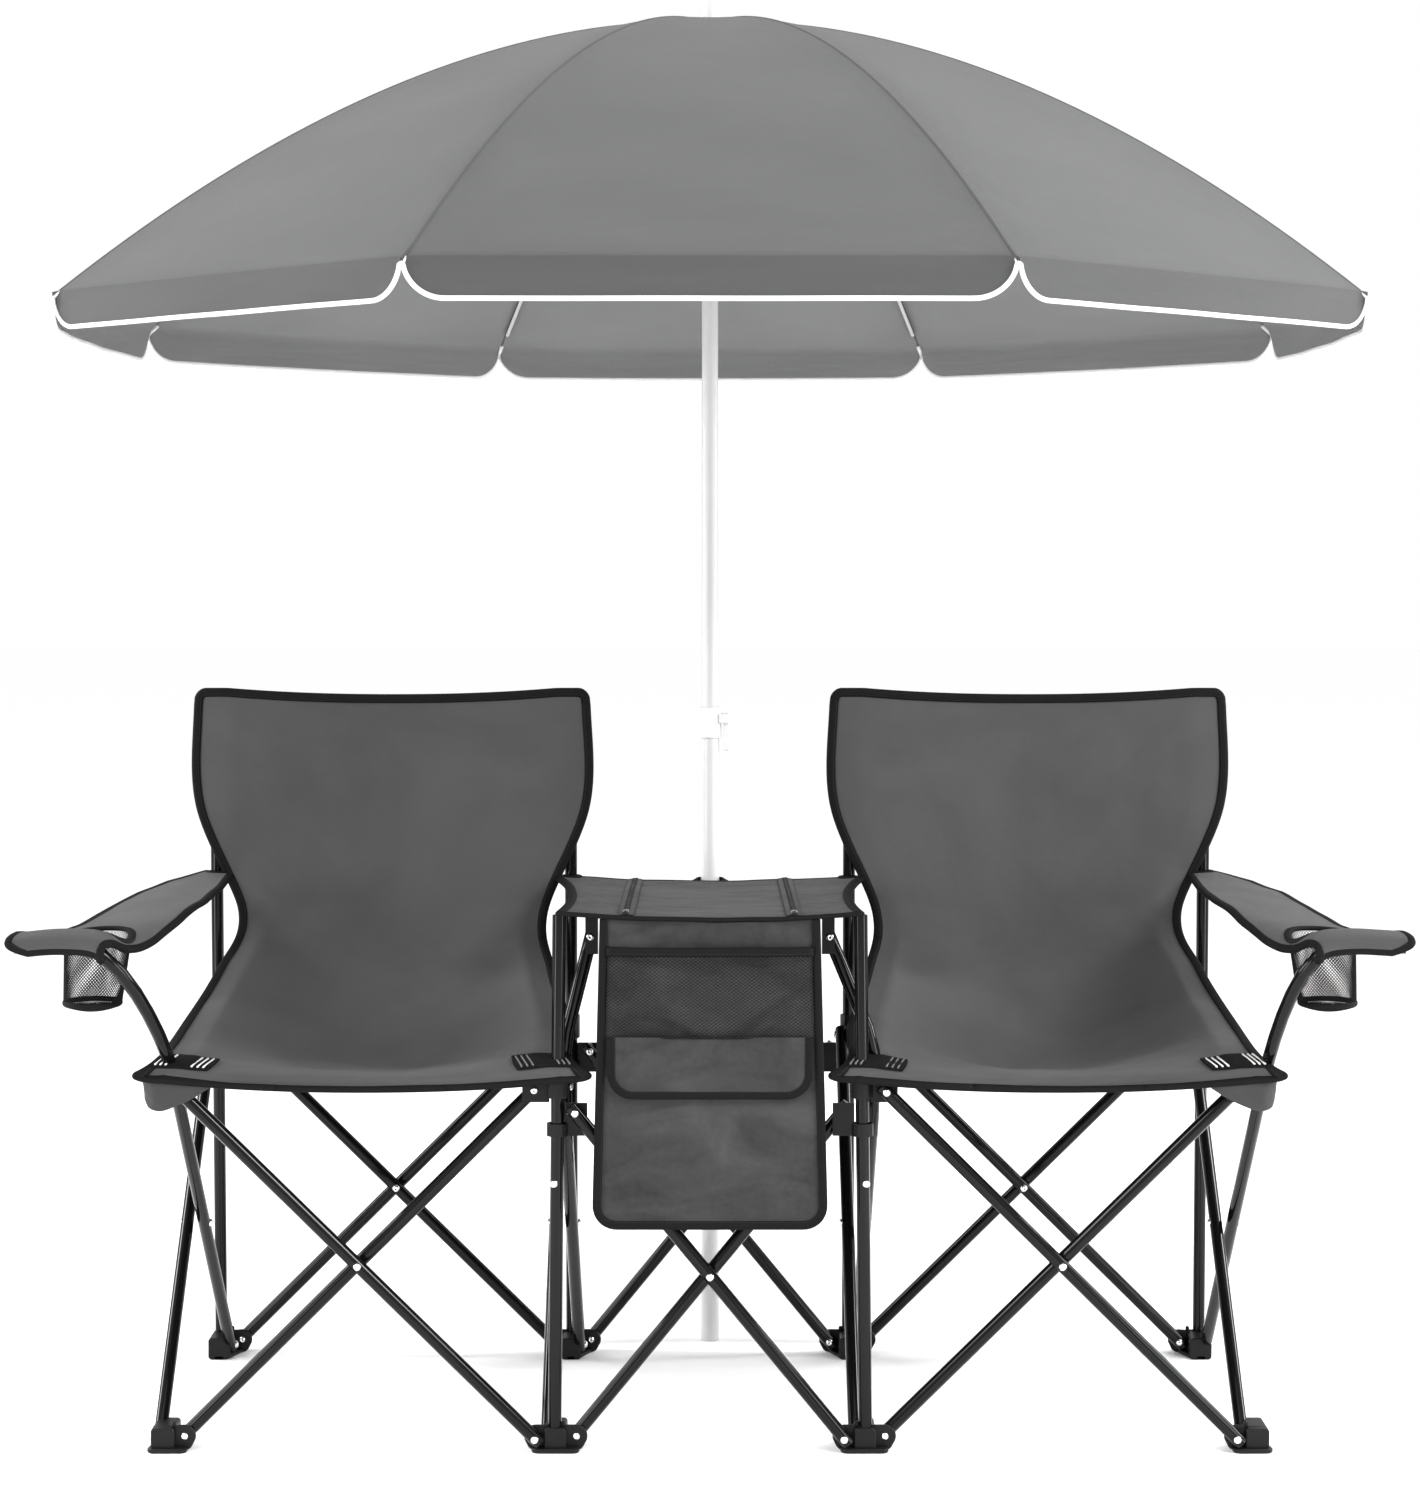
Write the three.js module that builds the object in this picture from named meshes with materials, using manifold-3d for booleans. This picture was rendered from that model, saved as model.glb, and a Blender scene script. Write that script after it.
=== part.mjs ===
// Folding camping loveseat: two sling chairs on a shared scissor frame, with a
// centre console table, cooler bag, pocket panel and a telescoping umbrella.
// Units are millimetres, +Z is up, -Y is the front. The origin is on the floor
// on the axis of the umbrella pole.
import * as THREE from 'three';
import { mergeVertices } from 'three/addons/utils/BufferGeometryUtils.js';
import Module from 'manifold-3d';

const wasm = await Module();
wasm.setup();

// Driving dimensions of the frame
const TUBE_R = 7.5;
const TUBE_SIDES = 12;
const TUBE_END = 8;
const PLATE = 4;
const GAP = 0.3;
const REAR_ROW_Y = -66;
const OUTER_PIVOT_X = 577.4;
const INNER_PIVOT_X = 192;
const CONSOLE_PIVOT_X = 147;
const OUTER_UPRIGHT_X = 603;
const INNER_UPRIGHT_X = 170;
const OUTER_SIDE_X = 598;
const INNER_SIDE_X = 170;
const SIDE_SET = 26;
const PIVOT_Z = 16;
const HUB_Z = 399;
const COLLAR_Z = 376;
const UPRIGHT_TOP_Z = 806;
const POST_FOOT_X = 171;
const POST_TOP_X = 164;

// Feet, hubs and slide collars
const PAD_H = 4;
const LUG_REACH = 13;
const FOOT_H = 29;
const SOCKET_R = 9.3;
const SOCKET_H = 26;
const RUN_CLEAR = 0.5;
const POST_CLEAR = 2;
const RING_WALL = 2.4;
const RING_H = 14;
const RING_LIFT = 7;
const RING_BELOW = 8;
const RING_DROP = 27;
const PAD_OVERHANG = 4;

// Arm posts, armrests and cup holders
const ARM_BAR_Z = 567;
const ARM_BAR_TIP_X = 738;
const ARM_BEND_X = 626;
const ARM_BAR_SET = 88;
const ARM_KNEE = 25;
const ARM_T = 6;
const ARM_REAR_HALF = 17;
const ARM_EDGE = 12;
const ARM_BEND_OUT = 42;
const ARM_SWEEP = 60;
const ARM_NOTCH = 26;
const ARM_STEPS = 28;
const ARM_CURVE_FRONT = 260;
const ARM_CURVE_REAR = 160;
const CUP_X = 662;
const CUP_SET = 24;
const CUP_R = 36;
const CUP_DEPTH = 88;
const CUP_WALL = 2.5;
const CUP_SIDES = 20;

// Sling seats
const SLING_T = 3;
const BACK_TOP_Z = 812;
const BACK_HALF = 237;
const WAIST_Z = 548;
const WAIST_HALF = 186;
const SEAT_CORNER_Z = 434;
const SEAT_DIP = 36;
const SEAT_FRONT_OUTER_X = 626;
const SEAT_FRONT_INNER_X = 124;
const SEAT_FRONT_SET = 4;
const SLOT_CLEAR = 2;
const SLEEVE_SHARE = 0.84;
const SLEEVE_GAP = 0.7;
const SLING_BOWL = 2.2;
const TOP_SAG = 8;
const BACK_BOW = [8, 20, 10];
const WAIST_LEAN = 4;
const SHOULDER_SHARE = 0.55;
const SHOULDER_MID_SHARE = 0.53;
const WAIST_MID_DROP = 0.1;
const SEAT_WIDENING = [14, -24, -4];
const SEAT_EDGE_DEPTH = [0.22, 0.55, 0.82];
const SEAT_EDGE_DROP = [0.45, 0.82, 0.97];
const SEAT_MID_DEPTH = [0.1, 0.42, 0.76];
const SEAT_MID_RISE = [0.35, -0.08, -0.06];
const SEAT_FRONT_CURL = 8;
const SLING_COLUMNS = 14;
const SLING_ROWS = 22;

// Console table, pocket panel, flap and cooler bag
const TABLE_T = 5;
const TABLE_FRONT_Z = 597;
const TABLE_REAR_Z = 577;
const TABLE_FRONT_HALF = 172;
const TABLE_REAR_HALF = 186;
const TABLE_WAIST_HALF = 150;
const TABLE_REAR_SET = 14;
const TABLE_LIP = 2;
const TABLE_CURVE_STEPS = 10;
const TAB_HALF = 26;
const TAB_BACK = 24;
const BRACKET_X = 129.5;
const BRACKET_W = 14;
const BRACKET_D = 16;
const BRACKET_H = 44;
const ELBOW = 22;
const LEAN_START = 48;
const BRACKET_STEPS = 26;
const PANEL_HALF = 127;
const PANEL_BOTTOM_Z = 247;
const PANEL_T = 5;
const PANEL_CORNER = 22;
const PANEL_CORNER_STEPS = 5;
const PANEL_SET = 20;
const POCKET_TOP_Z = 552;
const POCKET_BOTTOM_Z = 462;
const POCKET_BULGE = 14;
const POCKET_WALL = 3;
const FLAP_HALF = 109;
const FLAP_TOP_Z = 455;
const FLAP_BOTTOM_Z = 390;
const FLAP_T = 4;
const FLAP_CORNER = 26;
const BAG_HALF = 112;
const BAG_BOTTOM_Z = 268;
const BAG_FRONT_SET = 34;
const BAG_REAR_SET = 44;
const BAG_WALL = 5;
const BAG_SAG = 10;
const BAG_STEPS = 8;

// Umbrella
const POLE_SIDES = 20;
const LOWER_POLE_R = 11.5;
const LOWER_POLE_TOP_Z = 768;
const UPPER_POLE_R = 10;
const POLE_FIT = 0.4;
const POLE_FLOOR = 12;
const UPPER_POLE_FOOT_Z = 560;
const COLLAR_R = 14;
const COLLAR_H = 38;
const COLLAR_SKIRT = 12;
const COLLAR_FIT = 0.3;
const LEVER_LENGTH = 40;
const LEVER_W = 10;
const LEVER_T = 6;
const LEVER_EAR = 6;
const LEVER_DROP = 14;
const CANOPY_RADIUS = 800;
const CANOPY_TIP_Z = 1282;
const CANOPY_APEX_Z = 1632;
const CANOPY_HOLE_R = 6;
const CANOPY_T = 3;
const CANOPY_GORES = 8;
const CANOPY_GORE_STEPS = 4;
const CANOPY_RINGS = 8;
const CANOPY_DIP = 8;
const CANOPY_EDGE_IN = 50;
const CANOPY_CURVE = 1.85;
const CANOPY_DIP_FADE = 1.1;
const VALANCE_DROP = 44;
const VALANCE_NOTCH = 20;
const VALANCE_FLARE = 8;
const VALANCE_CORNER = 1.8;
const RIB_R = 2.6;
const RIB_SIDES = 5;
const RIB_STEPS = 7;
const RIB_SET = 3.9;
const RIB_SHORT = 32;
const CROWN_R = 17;
const CROWN_H = 22;
const CROWN_SET = 3;
const FINIAL_R = 12;
const FINIAL_TOP_Z = 1660;
const FINIAL_NECK = 0.6;
const FINIAL_STEPS = [0.3, 0.55, 0.85];
const STEM_CLEAR = 1;
const RUNNER_Z = 1380;
const RUNNER_H = 34;
const RUNNER_R = 16;
const STRETCHER_REACH = 400;

// Sizes that follow from the driving ones
const ROW_OFFSET = TUBE_R + PLATE / 2 + GAP;
const ROW_SPAN = OUTER_PIVOT_X - INNER_PIVOT_X;
const FRONT_ROW_Y = REAR_ROW_Y - ROW_SPAN - 2 * SIDE_SET;
const HUB_TOP_Z = HUB_Z + RING_LIFT + RING_H;
const PANEL_BACK_Y = FRONT_ROW_Y - PANEL_SET;
const PANEL_FRONT_Y = PANEL_BACK_Y - PANEL_T;

// The table slopes down to the back, and everything under it ends a gap below its underside
function tableZ(y) {
  const share = (y - FRONT_ROW_Y) / (REAR_ROW_Y - FRONT_ROW_Y);
  return TABLE_FRONT_Z + (TABLE_REAR_Z - TABLE_FRONT_Z) * share;
}

const underTable = (y) => tableZ(y) - TABLE_T - GAP;
const POST_TOP_Z = underTable(FRONT_ROW_Y + TUBE_R);
const BRACKET_TOP_Z = underTable(FRONT_ROW_Y + SIDE_SET + BRACKET_D / 2);

// Finishes
const FINISH = {
  tube: { color: 0x17181a, roughness: 0.35, metalness: 0.6 },
  moulding: { color: 0x1b1b1c, roughness: 0.55, metalness: 0.0 },
  cloth: { color: 0x4b4c4f, roughness: 0.9, metalness: 0.0 },
  canopyCloth: { color: 0x6a6b6e, roughness: 0.85, metalness: 0.0 },
  pole: { color: 0xe9e9e8, roughness: 0.4, metalness: 0.1 },
};

const group = new THREE.Group();

function addPiece(name, geometry, finish) {
  const mesh = new THREE.Mesh(geometry, new THREE.MeshStandardMaterial(FINISH[finish]));
  mesh.name = name;
  group.add(mesh);
}

const vec = (x, y, z) => new THREE.Vector3(x, y, z);

// Solids for joining and cutting
function toSolid(geometry) {
  const bare = geometry.index ? geometry.toNonIndexed() : geometry.clone();
  for (const key of Object.keys(bare.attributes)) {
    if (key !== 'position') bare.deleteAttribute(key);
  }
  const merged = mergeVertices(bare, 1e-4);
  return new wasm.Manifold(new wasm.Mesh({
    numProp: 3,
    vertProperties: new Float32Array(merged.attributes.position.array),
    triVerts: new Uint32Array(merged.index.array),
  }));
}

function toGeometry(solid) {
  const mesh = solid.getMesh();
  const geometry = new THREE.BufferGeometry();
  geometry.setAttribute('position', new THREE.BufferAttribute(mesh.vertProperties, 3));
  geometry.setIndex(new THREE.BufferAttribute(mesh.triVerts, 1));
  geometry.computeVertexNormals();
  return geometry;
}

function joined(shapes, cuts = []) {
  let solid = toSolid(shapes[0]);
  for (const shape of shapes.slice(1)) solid = solid.add(toSolid(shape));
  for (const cut of cuts) solid = solid.subtract(toSolid(cut));
  return toGeometry(solid);
}

// Basic shapes, already in place
function boxBetween(low, high) {
  const geometry = new THREE.BoxGeometry(high[0] - low[0], high[1] - low[1], high[2] - low[2]);
  return geometry.translate((low[0] + high[0]) / 2, (low[1] + high[1]) / 2, (low[2] + high[2]) / 2);
}

function spanBox(x0, x1, y0, y1, z0, z1) {
  return boxBetween(
    [Math.min(x0, x1), Math.min(y0, y1), z0],
    [Math.max(x0, x1), Math.max(y0, y1), z1],
  );
}

function rod(start, end, radius, sides = TUBE_SIDES) {
  const run = end.clone().sub(start);
  const geometry = new THREE.CylinderGeometry(radius, radius, run.length(), sides);
  const turn = new THREE.Quaternion().setFromUnitVectors(vec(0, 1, 0), run.clone().normalize());
  const middle = start.clone().add(end).multiplyScalar(0.5);
  return geometry.applyMatrix4(new THREE.Matrix4().compose(middle, turn, vec(1, 1, 1)));
}

function pillar(x, y, z0, z1, radius, sides = TUBE_SIDES) {
  return rod(vec(x, y, z0), vec(x, y, z1), radius, sides);
}

// A straight tube between two pivots, running a little past each
function pivotTube(low, high, radius = TUBE_R) {
  const along = high.clone().sub(low).normalize().multiplyScalar(TUBE_END);
  return rod(low.clone().sub(along), high.clone().add(along), radius);
}

function sectionShape(radius, sides) {
  const shape = new THREE.Shape();
  for (let i = 0; i <= sides; i += 1) {
    const angle = (i % sides) * 2 * Math.PI / sides;
    const point = [radius * Math.cos(angle), radius * Math.sin(angle)];
    if (i === 0) shape.moveTo(...point);
    else shape.lineTo(...point);
  }
  return shape;
}

function sweptTube(curve, radius, steps, sides = TUBE_SIDES) {
  return new THREE.ExtrudeGeometry(sectionShape(radius, sides), {
    steps, bevelEnabled: false, extrudePath: curve,
  });
}

// A closed sheet of a set thickness on a grid of points with their normals
function thickSheet(rows, columns, pointAt, thickness) {
  const front = [];
  const back = [];
  const step = 1e-3;
  for (let j = 0; j <= rows; j += 1) {
    for (let i = 0; i <= columns; i += 1) {
      const u = i / columns;
      const v = j / rows;
      const du = pointAt(Math.min(u + step, 1), v).sub(pointAt(Math.max(u - step, 0), v));
      const dv = pointAt(u, Math.min(v + step, 1)).sub(pointAt(u, Math.max(v - step, 0)));
      const normal = du.cross(dv).normalize().multiplyScalar(thickness / 2);
      const point = pointAt(u, v);
      front.push(point.clone().add(normal));
      back.push(point.clone().sub(normal));
    }
  }
  const points = front.concat(back);
  const wide = columns + 1;
  const shift = front.length;
  const index = [];
  const quad = (a, b, c, d) => index.push(a, b, c, a, c, d);
  for (let j = 0; j < rows; j += 1) {
    for (let i = 0; i < columns; i += 1) {
      const a = j * wide + i;
      quad(a, a + 1, a + wide + 1, a + wide);
      quad(a + shift, a + shift + wide, a + shift + wide + 1, a + shift + 1);
    }
  }
  const last = rows * wide;
  for (let i = 0; i < columns; i += 1) {
    quad(i + 1, i, i + shift, i + 1 + shift);
    quad(last + i, last + i + 1, last + i + 1 + shift, last + i + shift);
  }
  for (let j = 0; j < rows; j += 1) {
    const left = j * wide;
    const right = left + columns;
    quad(left, left + wide, left + wide + shift, left + shift);
    quad(right + wide, right, right + shift, right + wide + shift);
  }
  const geometry = new THREE.BufferGeometry();
  geometry.setAttribute('position', new THREE.Float32BufferAttribute(
    points.flatMap((p) => [p.x, p.y, p.z]), 3));
  geometry.setIndex(index);
  geometry.computeVertexNormals();
  return geometry;
}

// Frame stations: two rows of four columns
const ROWS = {
  front: { y: FRONT_ROW_Y, inward: 1 },
  rear: { y: REAR_ROW_Y, inward: -1 },
};
const COLUMNS = {
  left_outer: { sign: -1, inner: false },
  left_inner: { sign: -1, inner: true },
  right_inner: { sign: 1, inner: true },
  right_outer: { sign: 1, inner: false },
};
const chairPivotX = (column) => column.sign * (column.inner ? INNER_PIVOT_X : OUTER_PIVOT_X);
const consolePivotX = (column) => column.sign * CONSOLE_PIVOT_X;
const sideX = (column) => column.sign * (column.inner ? INNER_SIDE_X : OUTER_SIDE_X);
const uprightX = (column) => column.sign * (column.inner ? INNER_UPRIGHT_X : OUTER_UPRIGHT_X);
const sidePivotY = (row) => row.y + row.inward * SIDE_SET;
const postXAt = (column, z) => column.sign * (POST_FOOT_X + (POST_TOP_X - POST_FOOT_X) * z / POST_TOP_Z);

// Scissor tubes of a bay: the falling tube runs in front of the lugs, the rising one behind
function addBay(bayName, rowName, lowerX, upperZ) {
  const { y } = ROWS[rowName];
  const [leftX, rightX] = lowerX;
  addPiece(`${bayName}_${rowName}_falling_tube`, pivotTube(
    vec(rightX, y - ROW_OFFSET, PIVOT_Z), vec(leftX, y - ROW_OFFSET, upperZ)), 'tube');
  addPiece(`${bayName}_${rowName}_rising_tube`, pivotTube(
    vec(leftX, y + ROW_OFFSET, PIVOT_Z), vec(rightX, y + ROW_OFFSET, upperZ)), 'tube');
}

for (const rowName of Object.keys(ROWS)) {
  addBay('left_chair', rowName, [-OUTER_PIVOT_X, -INNER_PIVOT_X], HUB_Z);
  addBay('console', rowName, [-CONSOLE_PIVOT_X, CONSOLE_PIVOT_X], COLLAR_Z);
  addBay('right_chair', rowName, [INNER_PIVOT_X, OUTER_PIVOT_X], HUB_Z);
}

// Side scissor tubes: the back brace rises from the front foot to the rear hub
for (const [name, column] of Object.entries(COLUMNS)) {
  const x = sideX(column) - ROW_OFFSET;
  addPiece(`${name}_back_brace`, pivotTube(
    vec(x, sidePivotY(ROWS.front), PIVOT_Z), vec(x, sidePivotY(ROWS.rear), HUB_Z)), 'tube');
}

// Outer arm posts rise from the rear foot through the front hub and bend out under the armrest
function armPostCurve(column) {
  const x = sideX(column) + ROW_OFFSET;
  const foot = vec(x, sidePivotY(ROWS.rear), PIVOT_Z);
  const hub = vec(x, sidePivotY(ROWS.front), HUB_Z);
  const along = hub.clone().sub(foot).normalize();
  const start = foot.clone().addScaledVector(along, -TUBE_END);
  const knee = hub.clone().addScaledVector(along, ARM_KNEE);
  const barY = FRONT_ROW_Y - ARM_BAR_SET;
  const sweep = knee.clone().addScaledVector(along, ARM_SWEEP);
  const bend = vec(column.sign * ARM_BEND_X, barY, ARM_BAR_Z);
  const bendOut = bend.clone().add(vec(column.sign * ARM_BEND_OUT, 0, 0));
  const curve = new THREE.CurvePath();
  curve.add(new THREE.LineCurve3(start, knee));
  curve.add(new THREE.CubicBezierCurve3(knee, sweep, bend, bendOut));
  curve.add(new THREE.LineCurve3(bendOut, vec(column.sign * ARM_BAR_TIP_X, barY, ARM_BAR_Z)));
  return curve;
}

// Inner posts do the same, but turn upright at the hub and lean in to the table's front bracket
function bracketPostCurve(column) {
  const x = sideX(column) + ROW_OFFSET;
  const foot = vec(x, sidePivotY(ROWS.rear), PIVOT_Z);
  const elbow = vec(x, sidePivotY(ROWS.front), HUB_Z - ELBOW);
  const along = elbow.clone().sub(foot).normalize();
  const start = foot.clone().addScaledVector(along, -TUBE_END);
  const before = elbow.clone().addScaledVector(along, -2 * ELBOW);
  const after = vec(x, elbow.y, HUB_Z + LEAN_START);
  const top = vec(column.sign * BRACKET_X, elbow.y, BRACKET_TOP_Z - BRACKET_H / 2);
  const curve = new THREE.CurvePath();
  curve.add(new THREE.LineCurve3(start, before));
  curve.add(new THREE.QuadraticBezierCurve3(before, elbow, after));
  curve.add(new THREE.LineCurve3(after, top));
  return curve;
}

for (const [name, column] of Object.entries(COLUMNS)) {
  if (!column.inner) {
    addPiece(`${name}_arm_post`, sweptTube(armPostCurve(column), TUBE_R, ARM_STEPS), 'tube');
  } else {
    const top = vec(column.sign * BRACKET_X, sidePivotY(ROWS.front), BRACKET_TOP_Z);
    addPiece(`${name}_bracket_post`, joined([
      sweptTube(bracketPostCurve(column), TUBE_R, BRACKET_STEPS),
      spanBox(top.x - BRACKET_W / 2, top.x + BRACKET_W / 2, top.y - BRACKET_D / 2, top.y + BRACKET_D / 2,
        BRACKET_TOP_Z - BRACKET_H, BRACKET_TOP_Z),
    ]), 'tube');
  }
}

// Uprights carry the backs, front posts carry the table's front corners
for (const [name, column] of Object.entries(COLUMNS)) {
  addPiece(`${name}_upright`, pillar(
    uprightX(column), REAR_ROW_Y, PAD_H + GAP, UPRIGHT_TOP_Z, TUBE_R), 'tube');
  if (column.inner) {
    addPiece(`${name}_front_post`, rod(
      vec(postXAt(column, PAD_H + GAP), FRONT_ROW_Y, PAD_H + GAP),
      vec(postXAt(column, POST_TOP_Z), FRONT_ROW_Y, POST_TOP_Z), TUBE_R), 'tube');
  }
}

// The bar that stands in a column of a row, as a rod of a given radius, or nothing
function standingBar(column, rowName, radius, z0, z1) {
  if (rowName === 'rear') return pillar(uprightX(column), REAR_ROW_Y, z0, z1, radius);
  if (!column.inner) return null;
  return rod(vec(postXAt(column, z0), FRONT_ROW_Y, z0), vec(postXAt(column, z1), FRONT_ROW_Y, z1), radius);
}

// Lugs: a plate in the row between the scissor tubes, and a plate square to it between the side tubes
function lugPlates(column, row, z0, rowTop, sideTop, withConsole) {
  const side = sideX(column);
  const nearX = withConsole ? consolePivotX(column) - column.sign * LUG_REACH : side;
  const chairX = chairPivotX(column);
  const outward = Math.sign(chairX - side);
  const farX = chairX + outward * LUG_REACH;
  const rowPlate = spanBox(nearX, farX, row.y - PLATE / 2, row.y + PLATE / 2, z0, rowTop);
  const sidePlate = spanBox(side - PLATE / 2, side + PLATE / 2, row.y - row.inward * PLATE / 2,
    sidePivotY(row) + row.inward * LUG_REACH, z0, sideTop);
  return [rowPlate, sidePlate];
}

function addFoot(name, column, rowName) {
  const row = ROWS[rowName];
  const plates = lugPlates(column, row, 0, FOOT_H, FOOT_H, column.inner);
  const side = sideX(column);
  const padInner = column.inner ? consolePivotX(column) - column.sign * LUG_REACH
    : chairPivotX(column) - column.sign * LUG_REACH;
  const padOuter = column.inner ? chairPivotX(column) + column.sign * LUG_REACH
    : side + column.sign * (ROW_OFFSET + TUBE_R + PAD_OVERHANG);
  const pad = spanBox(padInner, padOuter, row.y - row.inward * (ROW_OFFSET + TUBE_R),
    sidePivotY(row) + row.inward * LUG_REACH, 0, PAD_H);
  const bar = standingBar(column, rowName, SOCKET_R, 0, SOCKET_H);
  const shapes = [pad, ...plates];
  const cuts = [];
  if (bar) {
    shapes.push(bar);
    cuts.push(standingBar(column, rowName, TUBE_R + GAP, PAD_H, FOOT_H + SOCKET_H));
  }
  addPiece(`${name}_${rowName}_foot`, joined(shapes, cuts), 'moulding');
}

function addHub(name, column, rowName) {
  const row = ROWS[rowName];
  const low = HUB_Z - LUG_REACH;
  const lugTop = HUB_Z + LUG_REACH - PLATE;
  const ringLow = HUB_Z - RING_BELOW;
  const clear = rowName === 'rear' ? RUN_CLEAR : POST_CLEAR;
  const ring = standingBar(column, rowName, TUBE_R + clear + RING_WALL, ringLow, HUB_TOP_Z);
  if (!ring) {
    addPiece(`${name}_${rowName}_hub`,
      joined(lugPlates(column, row, low, lugTop, lugTop, false)), 'moulding');
    return;
  }
  const bore = standingBar(column, rowName, TUBE_R + clear, low - RING_H, HUB_TOP_Z + RING_H);
  addPiece(`${name}_${rowName}_hub`,
    joined([...lugPlates(column, row, low, lugTop, lugTop, false), ring], [bore]), 'moulding');
}

// The console scissor ends on collars of its own, which slide on the same bars below the hubs
function addCollar(name, column, rowName) {
  const row = ROWS[rowName];
  const clear = rowName === 'rear' ? RUN_CLEAR : POST_CLEAR;
  const ringLow = COLLAR_Z - RING_DROP;
  const ring = standingBar(column, rowName, TUBE_R + clear + RING_WALL, ringLow, ringLow + RING_H);
  const bore = standingBar(column, rowName, TUBE_R + clear, ringLow - RING_H, COLLAR_Z + RING_H);
  const pivot = consolePivotX(column);
  const barX = uprightX(column);
  const plate = spanBox(pivot - column.sign * LUG_REACH, barX - column.sign * TUBE_R / 2,
    row.y - PLATE / 2, row.y + PLATE / 2, ringLow, COLLAR_Z + LUG_REACH - PLATE);
  addPiece(`${name}_${rowName}_console_collar`, joined([ring, plate], [bore]), 'moulding');
}

for (const rowName of Object.keys(ROWS)) {
  for (const [name, column] of Object.entries(COLUMNS)) {
    addFoot(name, column, rowName);
    addHub(name, column, rowName);
    if (column.inner) addCollar(name, column, rowName);
  }
}

// Sling: stations from the top of the back to the front of the seat, each with the line of its
// side edges and the line of its middle
function slingPoint(sign) {
  const backY = REAR_ROW_Y - TUBE_R - SLEEVE_GAP - SLING_T / 2;
  const backX = (OUTER_UPRIGHT_X + INNER_UPRIGHT_X) / 2;
  const frontX = (SEAT_FRONT_OUTER_X + SEAT_FRONT_INNER_X) / 2;
  const frontHalf = (SEAT_FRONT_OUTER_X - SEAT_FRONT_INNER_X) / 2;
  const frontY = FRONT_ROW_Y - SEAT_FRONT_SET;
  const depth = backY - frontY;
  const height = BACK_TOP_Z - WAIST_Z;
  const drop = WAIST_Z - SEAT_CORNER_Z;
  const seatZ = SEAT_CORNER_Z - SEAT_DIP;
  const seatHalf = [WAIST_HALF, frontHalf, frontHalf];
  const seatX = [backX, (backX + frontX) / 2, frontX];
  const stations = [
    { half: BACK_HALF, x: backX, edge: [backY, BACK_TOP_Z],
      mid: [backY + BACK_BOW[0], BACK_TOP_Z - TOP_SAG] },
    { half: BACK_HALF, x: backX, edge: [backY, WAIST_Z + height * SHOULDER_SHARE],
      mid: [backY + BACK_BOW[1], WAIST_Z + height * SHOULDER_MID_SHARE] },
    { half: WAIST_HALF, x: backX, edge: [backY - WAIST_LEAN, WAIST_Z],
      mid: [backY + BACK_BOW[2], WAIST_Z - drop * WAIST_MID_DROP] },
  ];
  for (let i = 0; i < SEAT_WIDENING.length; i += 1) {
    stations.push({
      half: seatHalf[i] + SEAT_WIDENING[i],
      x: seatX[i],
      edge: [backY - depth * SEAT_EDGE_DEPTH[i], WAIST_Z - drop * SEAT_EDGE_DROP[i]],
      mid: [backY - depth * SEAT_MID_DEPTH[i], seatZ + drop * SEAT_MID_RISE[i]],
    });
  }
  stations.push({
    half: frontHalf, x: frontX, edge: [frontY, SEAT_CORNER_Z], mid: [frontY + SEAT_FRONT_CURL, seatZ],
  });
  const track = (pick) => new THREE.CatmullRomCurve3(
    stations.map((s) => vec(...pick(s))), false, 'centripetal');
  const edgeTrack = track((s) => [s.x, ...s.edge]);
  const midTrack = track((s) => [s.x, ...s.mid]);
  const halfTrack = track((s) => [s.half, ...s.edge]);
  return (u, v) => {
    const across = 2 * u - 1;
    const edge = edgeTrack.getPoint(v);
    edge.y = Math.min(edge.y, backY);
    const mid = midTrack.getPoint(v);
    const fall = 1 - Math.min(1, Math.abs(across) / SLEEVE_SHARE) ** SLING_BOWL;
    const point = edge.lerp(mid, fall);
    return vec(sign * (point.x + across * halfTrack.getPoint(v).x), point.y, point.z);
  };
}

function addSling(name, sign, outer, inner) {
  const at = slingPoint(sign);
  const ordered = sign > 0 ? at : (u, v) => at(1 - u, v);
  const sheet = thickSheet(SLING_ROWS, SLING_COLUMNS, ordered, SLING_T);
  const cutR = TUBE_R + SLOT_CLEAR;
  const cuts = [
    sweptTube(armPostCurve(outer), cutR, ARM_STEPS),
    sweptTube(bracketPostCurve(inner), cutR, BRACKET_STEPS),
    standingBar(inner, 'front', cutR, PIVOT_Z, POST_TOP_Z),
  ];
  addPiece(name, joined([sheet], cuts), 'cloth');
}

addSling('left_sling', -1, COLUMNS.left_outer, COLUMNS.left_inner);
addSling('right_sling', 1, COLUMNS.right_outer, COLUMNS.right_inner);

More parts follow.
